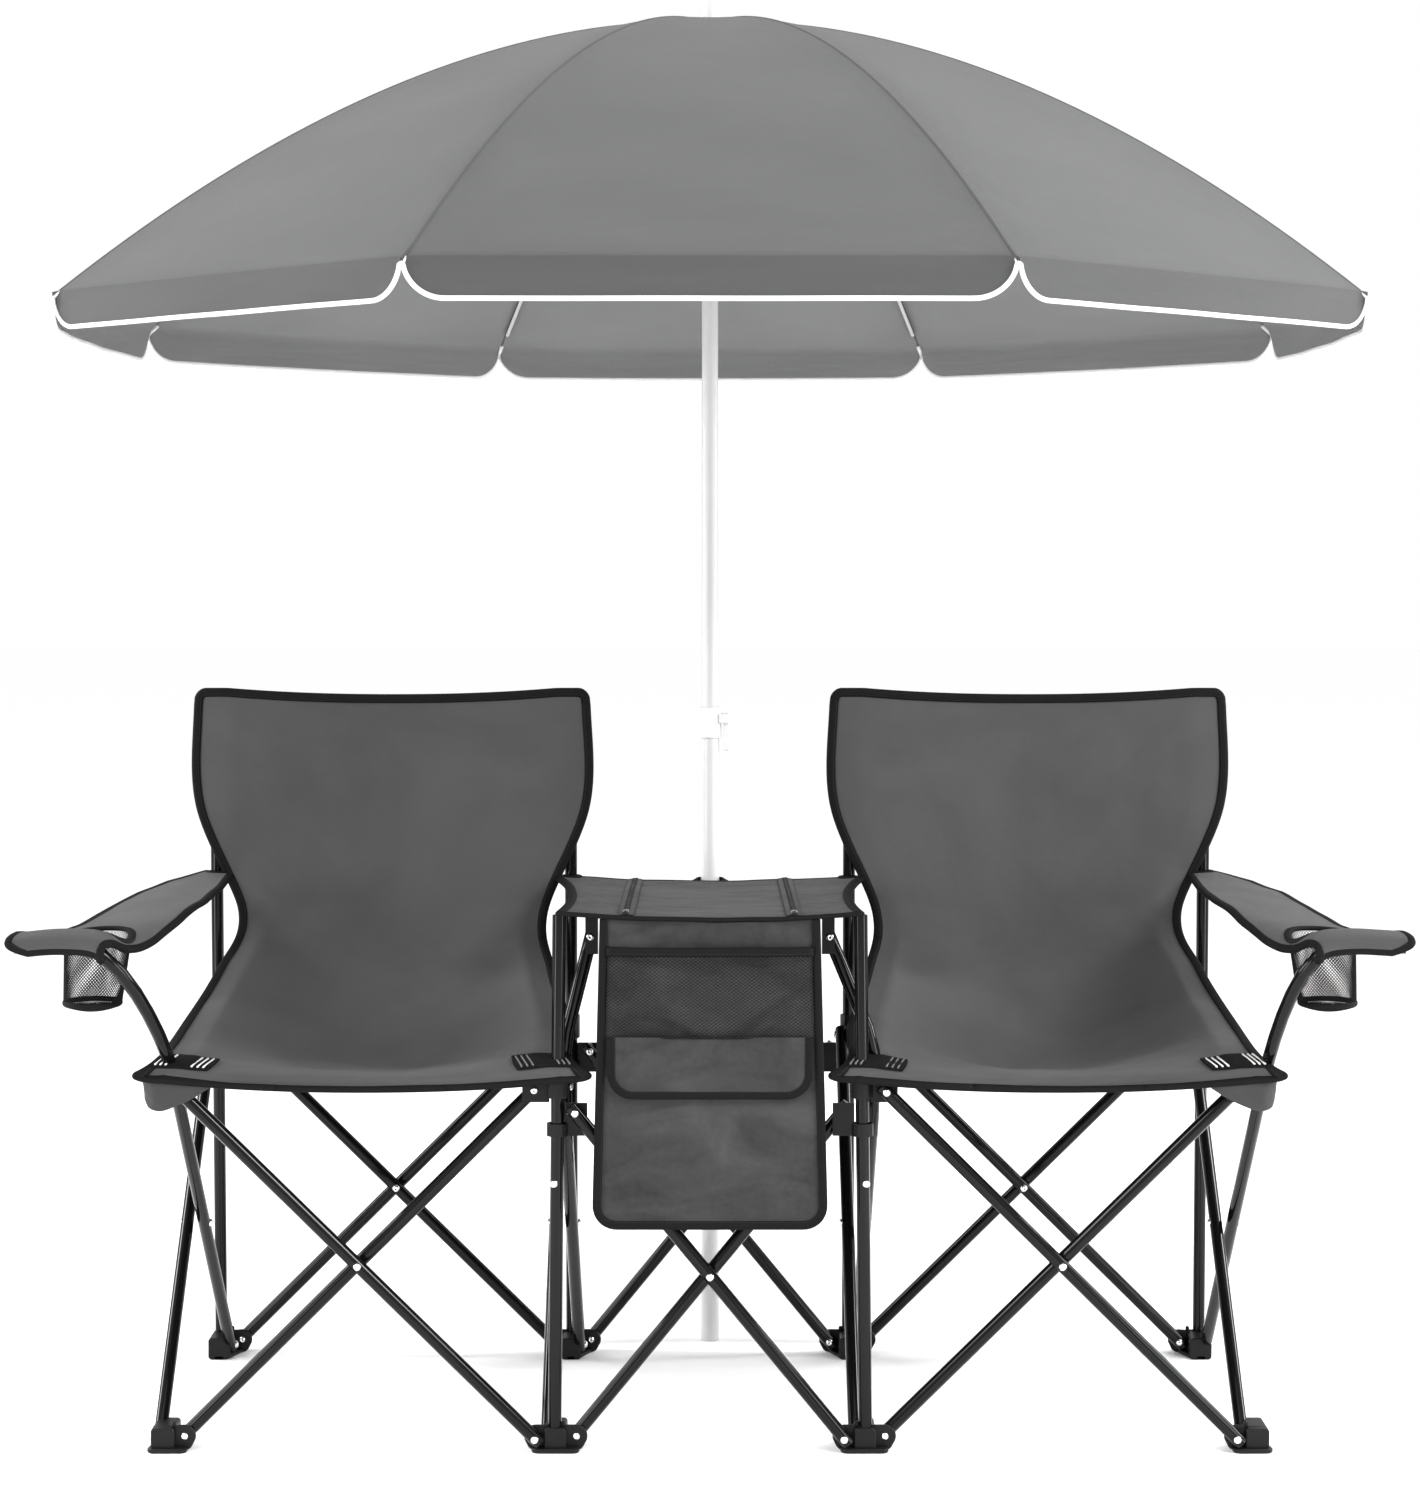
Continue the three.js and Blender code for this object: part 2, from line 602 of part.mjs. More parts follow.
// Armrests: a flat sleeve from a loop round the upright to the bar of the arm post, with a cup
function addArmrest(name, sign) {
  const under = ARM_BAR_Z + TUBE_R + GAP;
  const barY = FRONT_ROW_Y - ARM_BAR_SET;
  const frontY = barY - ARM_EDGE;
  const outerX = ARM_BAR_TIP_X + ARM_EDGE / 2;
  const innerX = ARM_BEND_X - ARM_EDGE;
  const rearY = REAR_ROW_Y + ARM_REAR_HALF;
  const shape = new THREE.Shape();
  shape.moveTo(OUTER_UPRIGHT_X - ARM_REAR_HALF, rearY);
  shape.lineTo(innerX, barY + 2 * CUP_R);
  shape.lineTo(innerX, frontY + ARM_NOTCH);
  shape.lineTo(innerX + ARM_NOTCH, frontY);
  shape.lineTo(outerX, frontY);
  shape.lineTo(outerX, barY + 2 * CUP_R);
  shape.bezierCurveTo(
    outerX, REAR_ROW_Y - ARM_CURVE_FRONT,
    OUTER_UPRIGHT_X + 2 * ARM_REAR_HALF, REAR_ROW_Y - ARM_CURVE_REAR,
    OUTER_UPRIGHT_X + ARM_REAR_HALF, rearY,
  );
  shape.closePath();
  const eyelet = new THREE.Path();
  eyelet.absarc(OUTER_UPRIGHT_X, REAR_ROW_Y, TUBE_R + RUN_CLEAR, 0, 2 * Math.PI, true);
  shape.holes.push(eyelet);
  const plate = new THREE.ExtrudeGeometry(shape, {
    depth: ARM_T, bevelEnabled: false, curveSegments: TUBE_SIDES / 2,
  }).translate(0, 0, under);
  const cupY = FRONT_ROW_Y - CUP_SET;
  const top = under + ARM_T;
  const cup = pillar(CUP_X, cupY, top - CUP_DEPTH, top, CUP_R, CUP_SIDES);
  const cupFloor = top - CUP_DEPTH + CUP_WALL;
  const hollow = pillar(CUP_X, cupY, cupFloor, top + CUP_WALL, CUP_R - CUP_WALL, CUP_SIDES);
  let solid = toSolid(plate).add(toSolid(cup)).subtract(toSolid(hollow));
  if (sign < 0) solid = solid.mirror([1, 0, 0]);
  addPiece(name, toGeometry(solid), 'cloth');
}

addArmrest('left_armrest', -1);
addArmrest('right_armrest', 1);

// Console table: a sheet on the posts, drawn in at the sides, with eyelets for the uprights
// and a loop at the back for the umbrella pole
function addTable() {
  const rearY = REAR_ROW_Y + TABLE_REAR_SET;
  const frontY = PANEL_FRONT_Y - TABLE_LIP;
  const waistY = (rearY + frontY) / 2;
  const shape = new THREE.Shape();
  shape.moveTo(TABLE_FRONT_HALF, frontY);
  shape.quadraticCurveTo(TABLE_WAIST_HALF, waistY, TABLE_REAR_HALF, rearY);
  shape.lineTo(TAB_HALF, rearY);
  shape.lineTo(TAB_HALF, 0);
  shape.absarc(0, 0, TAB_BACK, 0, Math.PI, false);
  shape.lineTo(-TAB_HALF, rearY);
  shape.lineTo(-TABLE_REAR_HALF, rearY);
  shape.quadraticCurveTo(-TABLE_WAIST_HALF, waistY, -TABLE_FRONT_HALF, frontY);
  shape.closePath();
  const bore = (x, y, radius) => {
    const path = new THREE.Path();
    path.absarc(x, y, radius, 0, 2 * Math.PI, true);
    shape.holes.push(path);
  };
  bore(INNER_UPRIGHT_X, REAR_ROW_Y, TUBE_R + RUN_CLEAR);
  bore(-INNER_UPRIGHT_X, REAR_ROW_Y, TUBE_R + RUN_CLEAR);
  bore(0, 0, LOWER_POLE_R + RUN_CLEAR);
  const sheet = new THREE.ExtrudeGeometry(shape, {
    depth: TABLE_T, bevelEnabled: false, curveSegments: TABLE_CURVE_STEPS,
  });
  const points = sheet.attributes.position;
  for (let i = 0; i < points.count; i += 1) {
    points.setZ(i, points.getZ(i) + tableZ(points.getY(i)) - TABLE_T);
  }
  addPiece('console_table', joined([sheet]), 'cloth');
}

addTable();

// A flat panel in the front plane with rounded lower corners
function hangingPanel(half, topZ, bottomZ, corner, backY, thickness) {
  const shape = new THREE.Shape();
  shape.moveTo(-half, topZ);
  shape.lineTo(-half, bottomZ + corner);
  shape.absarc(-half + corner, bottomZ + corner, corner, Math.PI, 1.5 * Math.PI, false);
  shape.lineTo(half - corner, bottomZ);
  shape.absarc(half - corner, bottomZ + corner, corner, 1.5 * Math.PI, 2 * Math.PI, false);
  shape.lineTo(half, topZ);
  shape.closePath();
  const geometry = new THREE.ExtrudeGeometry(shape, {
    depth: thickness, bevelEnabled: false, curveSegments: PANEL_CORNER_STEPS,
  });
  return geometry.rotateX(Math.PI / 2).translate(0, backY, 0);
}

function addPanel() {
  const topZ = underTable(PANEL_BACK_Y);
  const panel = hangingPanel(PANEL_HALF, topZ, PANEL_BOTTOM_Z, PANEL_CORNER, PANEL_BACK_Y, PANEL_T);
  const pocket = spanBox(-PANEL_HALF, PANEL_HALF, PANEL_FRONT_Y - POCKET_BULGE, PANEL_FRONT_Y + PANEL_T / 2,
    POCKET_BOTTOM_Z, POCKET_TOP_Z);
  const room = spanBox(-PANEL_HALF + POCKET_WALL, PANEL_HALF - POCKET_WALL,
    PANEL_FRONT_Y - POCKET_BULGE + POCKET_WALL, PANEL_FRONT_Y,
    POCKET_BOTTOM_Z + POCKET_WALL, POCKET_TOP_Z + POCKET_WALL);
  addPiece('console_pocket_panel', joined([panel, pocket], [room]), 'cloth');
}

addPanel();
addPiece('pocket_flap', joined([hangingPanel(
  FLAP_HALF, FLAP_TOP_Z, FLAP_BOTTOM_Z, FLAP_CORNER, PANEL_FRONT_Y - GAP, FLAP_T)]), 'cloth');

// Cooler bag: an open soft box that hangs from the table and sags in the middle
function addCoolerBag() {
  const frontY = FRONT_ROW_Y + BAG_FRONT_SET;
  const rearY = REAR_ROW_Y - BAG_REAR_SET;
  const block = (inset, floorZ, rise) => {
    const depth = rearY - frontY - 2 * inset;
    const shape = new THREE.Shape();
    shape.moveTo(-BAG_HALF + inset, BAG_BOTTOM_Z + rise);
    for (let i = 0; i <= BAG_STEPS; i += 1) {
      const share = i / BAG_STEPS;
      const x = (2 * share - 1) * (BAG_HALF - inset);
      shape.lineTo(x, floorZ + BAG_SAG * (1 - Math.sin(Math.PI * share)));
    }
    shape.lineTo(BAG_HALF - inset, BAG_BOTTOM_Z + rise);
    shape.closePath();
    const geometry = new THREE.ExtrudeGeometry(shape, { depth, bevelEnabled: false });
    geometry.rotateX(Math.PI / 2).translate(0, rearY - inset, 0);
    const points = geometry.attributes.position;
    for (let i = 0; i < points.count; i += 1) {
      if (points.getZ(i) > BAG_BOTTOM_Z + rise - 1) {
        points.setZ(i, underTable(points.getY(i)) + (inset > 0 ? BAG_WALL : 0));
      }
    }
    return geometry;
  };
  const rise = TABLE_REAR_Z - BAG_BOTTOM_Z;
  const outer = block(0, BAG_BOTTOM_Z, rise);
  const inner = block(BAG_WALL, BAG_BOTTOM_Z + BAG_WALL, rise);
  addPiece('cooler_bag', joined([outer], [inner]), 'cloth');
}

addCoolerBag();

// Umbrella pole: a lower tube that stands on the floor, an upper tube that slides in it,
// and a clamp collar with a lever
function lathe(profile, sides = POLE_SIDES) {
  const points = profile.map(([r, z]) => new THREE.Vector2(r, z));
  return new THREE.LatheGeometry(points, sides).rotateX(Math.PI / 2);
}

addPiece('lower_pole', joined([lathe([
  [0, 0], [LOWER_POLE_R, 0], [LOWER_POLE_R, LOWER_POLE_TOP_Z],
  [UPPER_POLE_R + POLE_FIT, LOWER_POLE_TOP_Z], [UPPER_POLE_R + POLE_FIT, POLE_FLOOR], [0, POLE_FLOOR],
])]), 'pole');

const COLLAR_LOW_Z = LOWER_POLE_TOP_Z - COLLAR_SKIRT;
const COLLAR_TOP_Z = COLLAR_LOW_Z + COLLAR_H;
const CROWN_TOP_Z = CANOPY_APEX_Z - CANOPY_T / 2 - CROWN_SET;
const CROWN_LOW_Z = CROWN_TOP_Z - CROWN_H;

addPiece('upper_pole', joined([
  pillar(0, 0, UPPER_POLE_FOOT_Z, CROWN_LOW_Z - GAP, UPPER_POLE_R, POLE_SIDES),
]), 'pole');

// The lever hangs between two ears on the collar's right side
const LEVER_X = COLLAR_R + LEVER_EAR / 2 + LEVER_T / 2;
const LEVER_PIVOT_Z = COLLAR_TOP_Z - LEVER_DROP;

function addCollarAndLever() {
  const body = lathe([
    [LOWER_POLE_R + COLLAR_FIT, COLLAR_LOW_Z], [COLLAR_R, COLLAR_LOW_Z],
    [COLLAR_R, COLLAR_TOP_Z], [UPPER_POLE_R + POLE_FIT, COLLAR_TOP_Z],
    [UPPER_POLE_R + POLE_FIT, LOWER_POLE_TOP_Z + GAP], [LOWER_POLE_R + COLLAR_FIT, LOWER_POLE_TOP_Z + GAP],
    [LOWER_POLE_R + COLLAR_FIT, COLLAR_LOW_Z],
  ]);
  const earReach = LEVER_X + LEVER_T / 2;
  const ear = (y) => spanBox(COLLAR_R - LEVER_EAR / 2, earReach, y - LEVER_EAR / 2, y + LEVER_EAR / 2,
    LEVER_PIVOT_Z - LEVER_EAR, LEVER_PIVOT_Z + LEVER_EAR);
  const earY = LEVER_W / 2 + GAP + LEVER_EAR / 2;
  const bore = pillar(0, 0, COLLAR_LOW_Z - COLLAR_H, LOWER_POLE_TOP_Z + GAP,
    LOWER_POLE_R + COLLAR_FIT, POLE_SIDES);
  addPiece('pole_collar', joined([body, ear(earY), ear(-earY)], [bore]), 'pole');
  const arm = spanBox(LEVER_X - LEVER_T / 2, LEVER_X + LEVER_T / 2, -LEVER_W / 2, LEVER_W / 2,
    LEVER_PIVOT_Z - LEVER_LENGTH, LEVER_PIVOT_Z + LEVER_T / 2);
  const eye = spanBox(LEVER_X - LEVER_T, LEVER_X + LEVER_T, -LEVER_W / 4, LEVER_W / 4,
    LEVER_PIVOT_Z - LEVER_LENGTH + LEVER_T / 2, LEVER_PIVOT_Z - LEVER_LENGTH / 2);
  addPiece('collar_lever', joined([arm], [eye]), 'pole');
}

addCollarAndLever();

// Canopy: gores dip between the ribs, the edge draws in, and a scalloped valance hangs from it
function canopyHeight(share) {
  return CANOPY_APEX_Z - (CANOPY_APEX_Z - CANOPY_TIP_Z) * share ** CANOPY_CURVE;
}

const GORE_ANGLE = 2 * Math.PI / CANOPY_GORES;

function canopyPoint(turn, share, offset) {
  const within = ((turn * CANOPY_GORES) % 1 + 1) % 1;
  const between = Math.sin(Math.PI * within);
  const angle = turn * 2 * Math.PI + GORE_ANGLE / 2 - Math.PI / 2;
  const radius = share * (CANOPY_RADIUS - CANOPY_EDGE_IN * between);
  const z = canopyHeight(share) - CANOPY_DIP * between * share * (CANOPY_DIP_FADE - share) + offset;
  return vec(radius * Math.cos(angle), radius * Math.sin(angle), z);
}

function valancePoint(turn, depth, offset) {
  const within = ((turn * CANOPY_GORES) % 1 + 1) % 1;
  const between = Math.sin(Math.PI * within);
  const edge = canopyPoint(turn, 1, 0);
  const outward = vec(edge.x, edge.y, 0).normalize();
  const drop = VALANCE_NOTCH + (VALANCE_DROP - VALANCE_NOTCH) * Math.min(1, between * VALANCE_CORNER);
  return edge.addScaledVector(outward, VALANCE_FLARE * depth + offset).add(vec(0, 0, -drop * depth));
}

function canopyGeometry() {
  const around = CANOPY_GORES * CANOPY_GORE_STEPS;
  const startShare = CANOPY_HOLE_R / CANOPY_RADIUS;
  const rings = [];
  for (let j = 0; j <= CANOPY_RINGS; j += 1) {
    const share = startShare + (1 - startShare) * j / CANOPY_RINGS;
    rings.push((turn) => canopyPoint(turn, share, CANOPY_T / 2));
  }
  rings.push((turn) => valancePoint(turn, 1, CANOPY_T / 2));
  rings.push((turn) => valancePoint(turn, 1, -CANOPY_T / 2));
  rings.push((turn) => valancePoint(turn, 0, -CANOPY_T / 2).add(vec(0, 0, -CANOPY_T)));
  for (let j = CANOPY_RINGS - 1; j >= 0; j -= 1) {
    const share = startShare + (1 - startShare) * j / CANOPY_RINGS;
    rings.push((turn) => canopyPoint(turn, share, -CANOPY_T / 2));
  }
  const positions = [];
  for (const ring of rings) {
    for (let i = 0; i < around; i += 1) {
      const point = ring(i / around);
      positions.push(point.x, point.y, point.z);
    }
  }
  const index = [];
  for (let j = 0; j < rings.length; j += 1) {
    const here = j * around;
    const next = ((j + 1) % rings.length) * around;
    for (let i = 0; i < around; i += 1) {
      const side = (i + 1) % around;
      index.push(here + i, next + i, next + side, here + i, next + side, here + side);
    }
  }
  const geometry = new THREE.BufferGeometry();
  geometry.setAttribute('position', new THREE.Float32BufferAttribute(positions, 3));
  geometry.setIndex(index);
  geometry.computeVertexNormals();
  return geometry;
}

addPiece('canopy', canopyGeometry(), 'canopyCloth');

// Rib cage: crown, curved ribs under the gore seams, stretchers and runner
function ribCage() {
  const under = CANOPY_T / 2 + RIB_SET + RIB_R;
  const shapes = [pillar(0, 0, CROWN_LOW_Z, CROWN_TOP_Z, CROWN_R, POLE_SIDES)];
  const bores = [pillar(
    0, 0, RUNNER_Z - RUNNER_H, CROWN_LOW_Z - GAP / 2, UPPER_POLE_R + POLE_FIT, POLE_SIDES,
  )];
  shapes.push(pillar(0, 0, RUNNER_Z - RUNNER_H / 2, RUNNER_Z + RUNNER_H / 2, RUNNER_R, POLE_SIDES));
  const capLow = CANOPY_APEX_Z + CANOPY_T / 2 + GAP;
  const capRise = FINIAL_TOP_Z - capLow;
  const stemR = CANOPY_HOLE_R - STEM_CLEAR;
  shapes.push(pillar(0, 0, CROWN_TOP_Z - CROWN_SET, capLow + CROWN_SET, stemR, POLE_SIDES));
  shapes.push(lathe([
    [0, capLow], [FINIAL_R, capLow], [FINIAL_R, capLow + capRise * FINIAL_STEPS[0]],
    [FINIAL_R * FINIAL_NECK, capLow + capRise * FINIAL_STEPS[1]],
    [FINIAL_R * FINIAL_NECK, capLow + capRise * FINIAL_STEPS[2]], [0, FINIAL_TOP_Z],
  ]));
  const rootShare = CROWN_R / 2 / CANOPY_RADIUS;
  const tipShare = 1 - RIB_SHORT / CANOPY_RADIUS;
  for (let i = 0; i < CANOPY_GORES; i += 1) {
    const turn = i / CANOPY_GORES;
    const points = [];
    for (let j = 0; j <= RIB_STEPS; j += 1) {
      const share = rootShare + (tipShare - rootShare) * j / RIB_STEPS;
      points.push(canopyPoint(turn, share, -under));
    }
    const curve = new THREE.CatmullRomCurve3(points);
    shapes.push(sweptTube(curve, RIB_R, RIB_STEPS, RIB_SIDES));
    const joint = canopyPoint(turn, STRETCHER_REACH / CANOPY_RADIUS, -under);
    const outward = vec(joint.x, joint.y, 0).normalize();
    const start = outward.clone().multiplyScalar(RUNNER_R - RIB_R).add(vec(0, 0, RUNNER_Z));
    shapes.push(rod(start, joint, RIB_R, RIB_SIDES));
  }
  return joined(shapes, bores);
}

addPiece('umbrella_ribs', ribCage(), 'pole');

export default group;
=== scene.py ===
import logging
import math
from dataclasses import dataclass
from enum import Enum
from typing import Callable, Sequence

import bmesh
import bpy
from mathutils import Matrix, Vector, noise


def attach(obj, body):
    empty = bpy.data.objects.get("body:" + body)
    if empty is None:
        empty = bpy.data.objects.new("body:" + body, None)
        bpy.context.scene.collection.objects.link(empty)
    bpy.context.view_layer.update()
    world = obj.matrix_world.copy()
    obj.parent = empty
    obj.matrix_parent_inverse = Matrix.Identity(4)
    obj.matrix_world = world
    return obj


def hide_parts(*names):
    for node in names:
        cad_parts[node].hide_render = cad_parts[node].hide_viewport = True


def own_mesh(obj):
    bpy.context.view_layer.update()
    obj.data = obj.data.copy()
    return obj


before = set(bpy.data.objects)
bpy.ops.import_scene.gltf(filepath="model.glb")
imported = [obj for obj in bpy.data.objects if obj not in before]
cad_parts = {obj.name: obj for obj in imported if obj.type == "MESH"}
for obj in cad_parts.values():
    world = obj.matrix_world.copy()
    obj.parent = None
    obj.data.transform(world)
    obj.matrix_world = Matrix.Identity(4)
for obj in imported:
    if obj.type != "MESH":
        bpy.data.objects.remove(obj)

log = logging.getLogger("loveseat")
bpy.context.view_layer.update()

Pair = tuple[float, float]
Triple = tuple[float, float, float]
Cells = tuple[int, int]
Mesh = bmesh.types.BMesh
Piece = bpy.types.Object
Place = Callable[[float, float], Vector]
Pattern = Callable[[float, float], Pair]
Section = Sequence[Pair]
Socket = bpy.types.NodeSocket


class Side(Enum):
    """The two chairs, by the sign of x."""

    LEFT = -1
    RIGHT = 1

    @property
    def word(self) -> str:
        """The side's name as it is used in node names."""
        return self.name.lower()

    def mirror(self, spot: Triple) -> Vector:
        """Returns a point that is given for the right side, on this side."""
        return Vector((self.value * spot[0], *spot[1:]))


class Coordinates(Enum):
    """Where a finish takes its pattern's coordinates from."""

    OBJECT = "Object"
    CUT = "UV"


# Sizes of the frame, in metres
REAR_Y = -0.066
FRONT_Y = -0.5034
SIDE_SET = 0.026
PIVOT_Z = 0.016
HUB_Z = 0.399
COLLAR_Z = 0.376
OUTER_PIVOT_X = 0.5774
INNER_PIVOT_X = 0.192
CONSOLE_PIVOT_X = 0.147
OUTER_SIDE_X = 0.598
INNER_SIDE_X = 0.170
OUTER_UPRIGHT_X = 0.603
INNER_UPRIGHT_X = 0.170

# Ways that a surface faces
UP = Vector((0.0, 0.0, 1.0)).freeze()
AHEAD = Vector((0.0, -1.0, 0.0)).freeze()

# The angle, in degrees, from which a sheet's rim is shaded as an edge
RIM_ANGLE = 50.0


class Shader:
    """Adds nodes to one material and links them as they are made."""

    def __init__(self, name: str, coordinates: Coordinates) -> None:
        """Starts a material.

        Args:
            name: the material's name.
            coordinates: where its patterns take their coordinates from.
        """
        self.material = bpy.data.materials.new(name)
        self.material.use_nodes = True
        self.nodes = self.material.node_tree.nodes
        self.links = self.material.node_tree.links
        self.surface = self.nodes["Principled BSDF"]
        self.place = self.add("ShaderNodeTexCoord").outputs[coordinates.value]

    def add(self, kind: str, sockets: dict | None = None, **settings: object) -> bpy.types.Node:
        """Adds a node.

        Args:
            kind: the node's type name.
            sockets: values or sockets for the node's inputs.
            settings: the node's own properties.

        Returns:
            The new node.
        """
        node = self.nodes.new(kind)
        for key, value in settings.items():
            setattr(node, key, value)
        for key, value in (sockets or {}).items():
            self.feed(node, key, value)
        return node

    def feed(self, node: bpy.types.Node, key: str | int, value: object) -> None:
        """Links a socket to an input, or sets the input's value."""
        if isinstance(value, Socket):
            self.links.new(value, node.inputs[key])
        else:
            node.inputs[key].default_value = value

    def noise(self, scale: float, detail: float = 3.0, place: Socket | None = None) -> Socket:
        """Adds a noise pattern and returns its value."""
        sockets = {"Vector": place or self.place, "Scale": scale, "Detail": detail}
        return self.add("ShaderNodeTexNoise", sockets).outputs["Fac"]

    def math(self, operation: str, first: object, second: object = 0.0) -> Socket:
        """Adds a sum on two values and returns its result."""
        return self.add("ShaderNodeMath", {0: first, 1: second}, operation=operation).outputs[0]

    def blend(self, first: Socket, second: Socket, share: float) -> Socket:
        """Adds two values, the second by its share and the first by what is left."""
        kept = self.math("MULTIPLY", first, 1.0 - share)
        return self.math("ADD", kept, self.math("MULTIPLY", second, share))

    def ranged(self, value: Socket, low: float, high: float) -> Socket:
        """Maps a value from 0 to 1 on to a range and returns it."""
        sockets = {"Value": value, "To Min": low, "To Max": high}
        return self.add("ShaderNodeMapRange", sockets).outputs["Result"]

    def mixed(self, factor: Socket, first: Sequence[float], second: Sequence[float]) -> Socket:
        """Mixes two colours by a factor and returns the result."""
        node = self.add("ShaderNodeMix", {0: factor}, data_type="RGBA")
        node.inputs[6].default_value = (*first, 1.0)
        node.inputs[7].default_value = (*second, 1.0)
        return node.outputs[2]

    def bands(self, pitch: float, axis: str) -> Socket:
        """Adds threads of a pitch in metres across an axis and returns their height."""
        scale = 2.0 * math.pi / (20.0 * pitch)
        sockets = {"Vector": self.place, "Scale": scale}
        return self.add("ShaderNodeTexWave", sockets, bands_direction=axis).outputs["Fac"]

    def raised(self, height: Socket, depth: float, strength: float = 1.0) -> None:
        """Bumps the surface by a height in metres."""
        sockets = {"Height": height, "Distance": depth, "Strength": strength}
        self.feed(self.surface, "Normal", self.add("ShaderNodeBump", sockets).outputs["Normal"])


def scaled(colour: Sequence[float], share: float) -> tuple[float, ...]:
    """Returns a colour made lighter or darker by a share."""
    return tuple(channel * share for channel in colour)


@dataclass(frozen=True)
class Finish:
    """A surface finish with a colour and a roughness."""

    name: str
    colour: Triple
    roughness: float

    def make(self) -> bpy.types.Material:
        """Builds the finish's material."""
        raise NotImplementedError


@dataclass(frozen=True)
class Coated(Finish):
    """A coated, moulded or plated hard surface with a fine grain."""

    grain: float = 900.0
    depth: float = 0.00004
    spread: float = 0.08
    metallic: float = 0.0
    coat: float = 0.0
    specular: float = 0.5
    spread_tint: float = 0.14
    cloud: float = 14.0
    wear: float = 60.0

    def make(self) -> bpy.types.Material:
        """Builds the finish's material."""
        shader = Shader(self.name, Coordinates.OBJECT)
        shader.surface.inputs["Metallic"].default_value = self.metallic
        shader.surface.inputs["Coat Weight"].default_value = self.coat
        shader.surface.inputs["Coat Roughness"].default_value = self.roughness * 0.5
        shader.surface.inputs["Specular IOR Level"].default_value = self.specular
        cloudy = shader.noise(self.cloud)
        low, high = 1.0 - self.spread_tint, 1.0 + self.spread_tint
        tint = shader.mixed(cloudy, scaled(self.colour, low), scaled(self.colour, high))
        shader.feed(shader.surface, "Base Color", tint)
        worn = shader.noise(self.wear, 6.0)
        gloss = shader.ranged(worn, self.roughness - self.spread, self.roughness + self.spread)
        shader.feed(shader.surface, "Roughness", gloss)
        shader.raised(shader.noise(self.grain, 2.0), self.depth)
        return shader.material


@dataclass(frozen=True)
class Woven(Finish):
    """A plain woven cloth whose threads follow its cut."""

    pitch: float = 0.0011
    depth: float = 0.00025
    # How far the cloudy tone below swings the colour: random tone, and, where it is turned up, also painted
    # shade and painted highlights of soft creases.
    mottle: float = 0.10
    crease: float = 0.0016
    sheen: float = 0.06
    specular: float = 0.25
    cloud: float = 5.0
    swirl: float = 0.0
    slant: float = 0.8
    stretch: float = 1.6
    cloud_range: Pair = (-0.6, 1.6)
    slub: float = 160.0
    slub_share: float = 0.3
    weave_share: float = 0.2
    gloss_spread: float = 0.08
    fold: float = 22.0

    def make(self) -> bpy.types.Material:
        """Builds the cloth's material."""
        shader = Shader(self.name, Coordinates.CUT)
        shader.surface.inputs["Sheen Weight"].default_value = self.sheen
        shader.surface.inputs["Specular IOR Level"].default_value = self.specular
        warp = shader.bands(self.pitch, "X")
        weft = shader.bands(self.pitch, "Y")
        weave = shader.math("MAXIMUM", warp, weft)
        # The slanted clouds make the cloudy tone: partly random tone, partly painted shade and painted
        # highlights of creases.
        turned = {"Vector": shader.place, "Rotation": (0.0, 0.0, self.slant),
                  "Scale": (1.0, self.stretch, 1.0)}
        slanted = shader.add("ShaderNodeMapping", turned).outputs["Vector"]
        streaks = {"Vector": slanted, "Scale": self.cloud, "Detail": 4.0, "Distortion": self.swirl}
        clouds = shader.add("ShaderNodeTexNoise", streaks).outputs["Fac"]
        slub = shader.noise(self.slub, 3.0)
        shade = shader.blend(shader.ranged(clouds, *self.cloud_range), slub, self.slub_share)
        tone = shader.blend(shade, weave, self.weave_share)
        low, high = 1.0 - 2.0 * self.mottle, 1.0 + 2.0 * self.mottle
        tint = shader.mixed(tone, scaled(self.colour, low), scaled(self.colour, high))
        shader.feed(shader.surface, "Base Color", tint)
        gloss = shader.ranged(slub, self.roughness - self.gloss_spread, self.roughness + self.gloss_spread)
        shader.feed(shader.surface, "Roughness", gloss)
        fine = shader.math("MULTIPLY", weave, self.depth)
        folds = shader.math("MULTIPLY", shader.noise(self.fold, 2.0), self.crease)
        shader.raised(shader.math("ADD", fine, folds), 1.0)
        return shader.material


@dataclass(frozen=True)
class Tape(Finish):
    """A ribbed binding tape with a row of stitches, on coordinates along and across it."""

    stitch: Triple = (0.016, 0.016, 0.0165)
    rib: float = 0.0012
    stitch_pitch: float = 0.0042
    stitch_across: float = 0.0056
    stitch_half: float = 0.00045
    specular: float = 0.09
    dash: float = 0.66
    wear: float = 300.0
    gloss_spread: float = 0.1
    rib_height: float = 0.00018
    stitch_height: float = 0.0004

    def make(self) -> bpy.types.Material:
        """Builds the tape's material."""
        shader = Shader(self.name, Coordinates.CUT)
        shader.surface.inputs["Specular IOR Level"].default_value = self.specular
        parts = shader.add("ShaderNodeSeparateXYZ", {0: shader.place}).outputs
        off = shader.math("ABSOLUTE", shader.math("SUBTRACT", parts["Y"], self.stitch_across))
        on_line = shader.math("LESS_THAN", off, self.stitch_half)
        phase = shader.math("FRACT", shader.math("DIVIDE", parts["X"], self.stitch_pitch))
        on_dash = shader.math("LESS_THAN", phase, self.dash)
        thread = shader.math("MULTIPLY", on_line, on_dash)
        shader.feed(shader.surface, "Base Color", shader.mixed(thread, self.colour, self.stitch))
        worn = shader.noise(self.wear, 4.0)
        gloss = shader.ranged(worn, self.roughness - self.gloss_spread, self.roughness + self.gloss_spread)
        shader.feed(shader.surface, "Roughness", gloss)
        ribs = shader.math("MULTIPLY", shader.bands(self.rib, "X"), self.rib_height)
        proud = shader.math("MULTIPLY", thread, self.stitch_height)
        shader.raised(shader.math("ADD", ribs, proud), 1.0)
        return shader.material


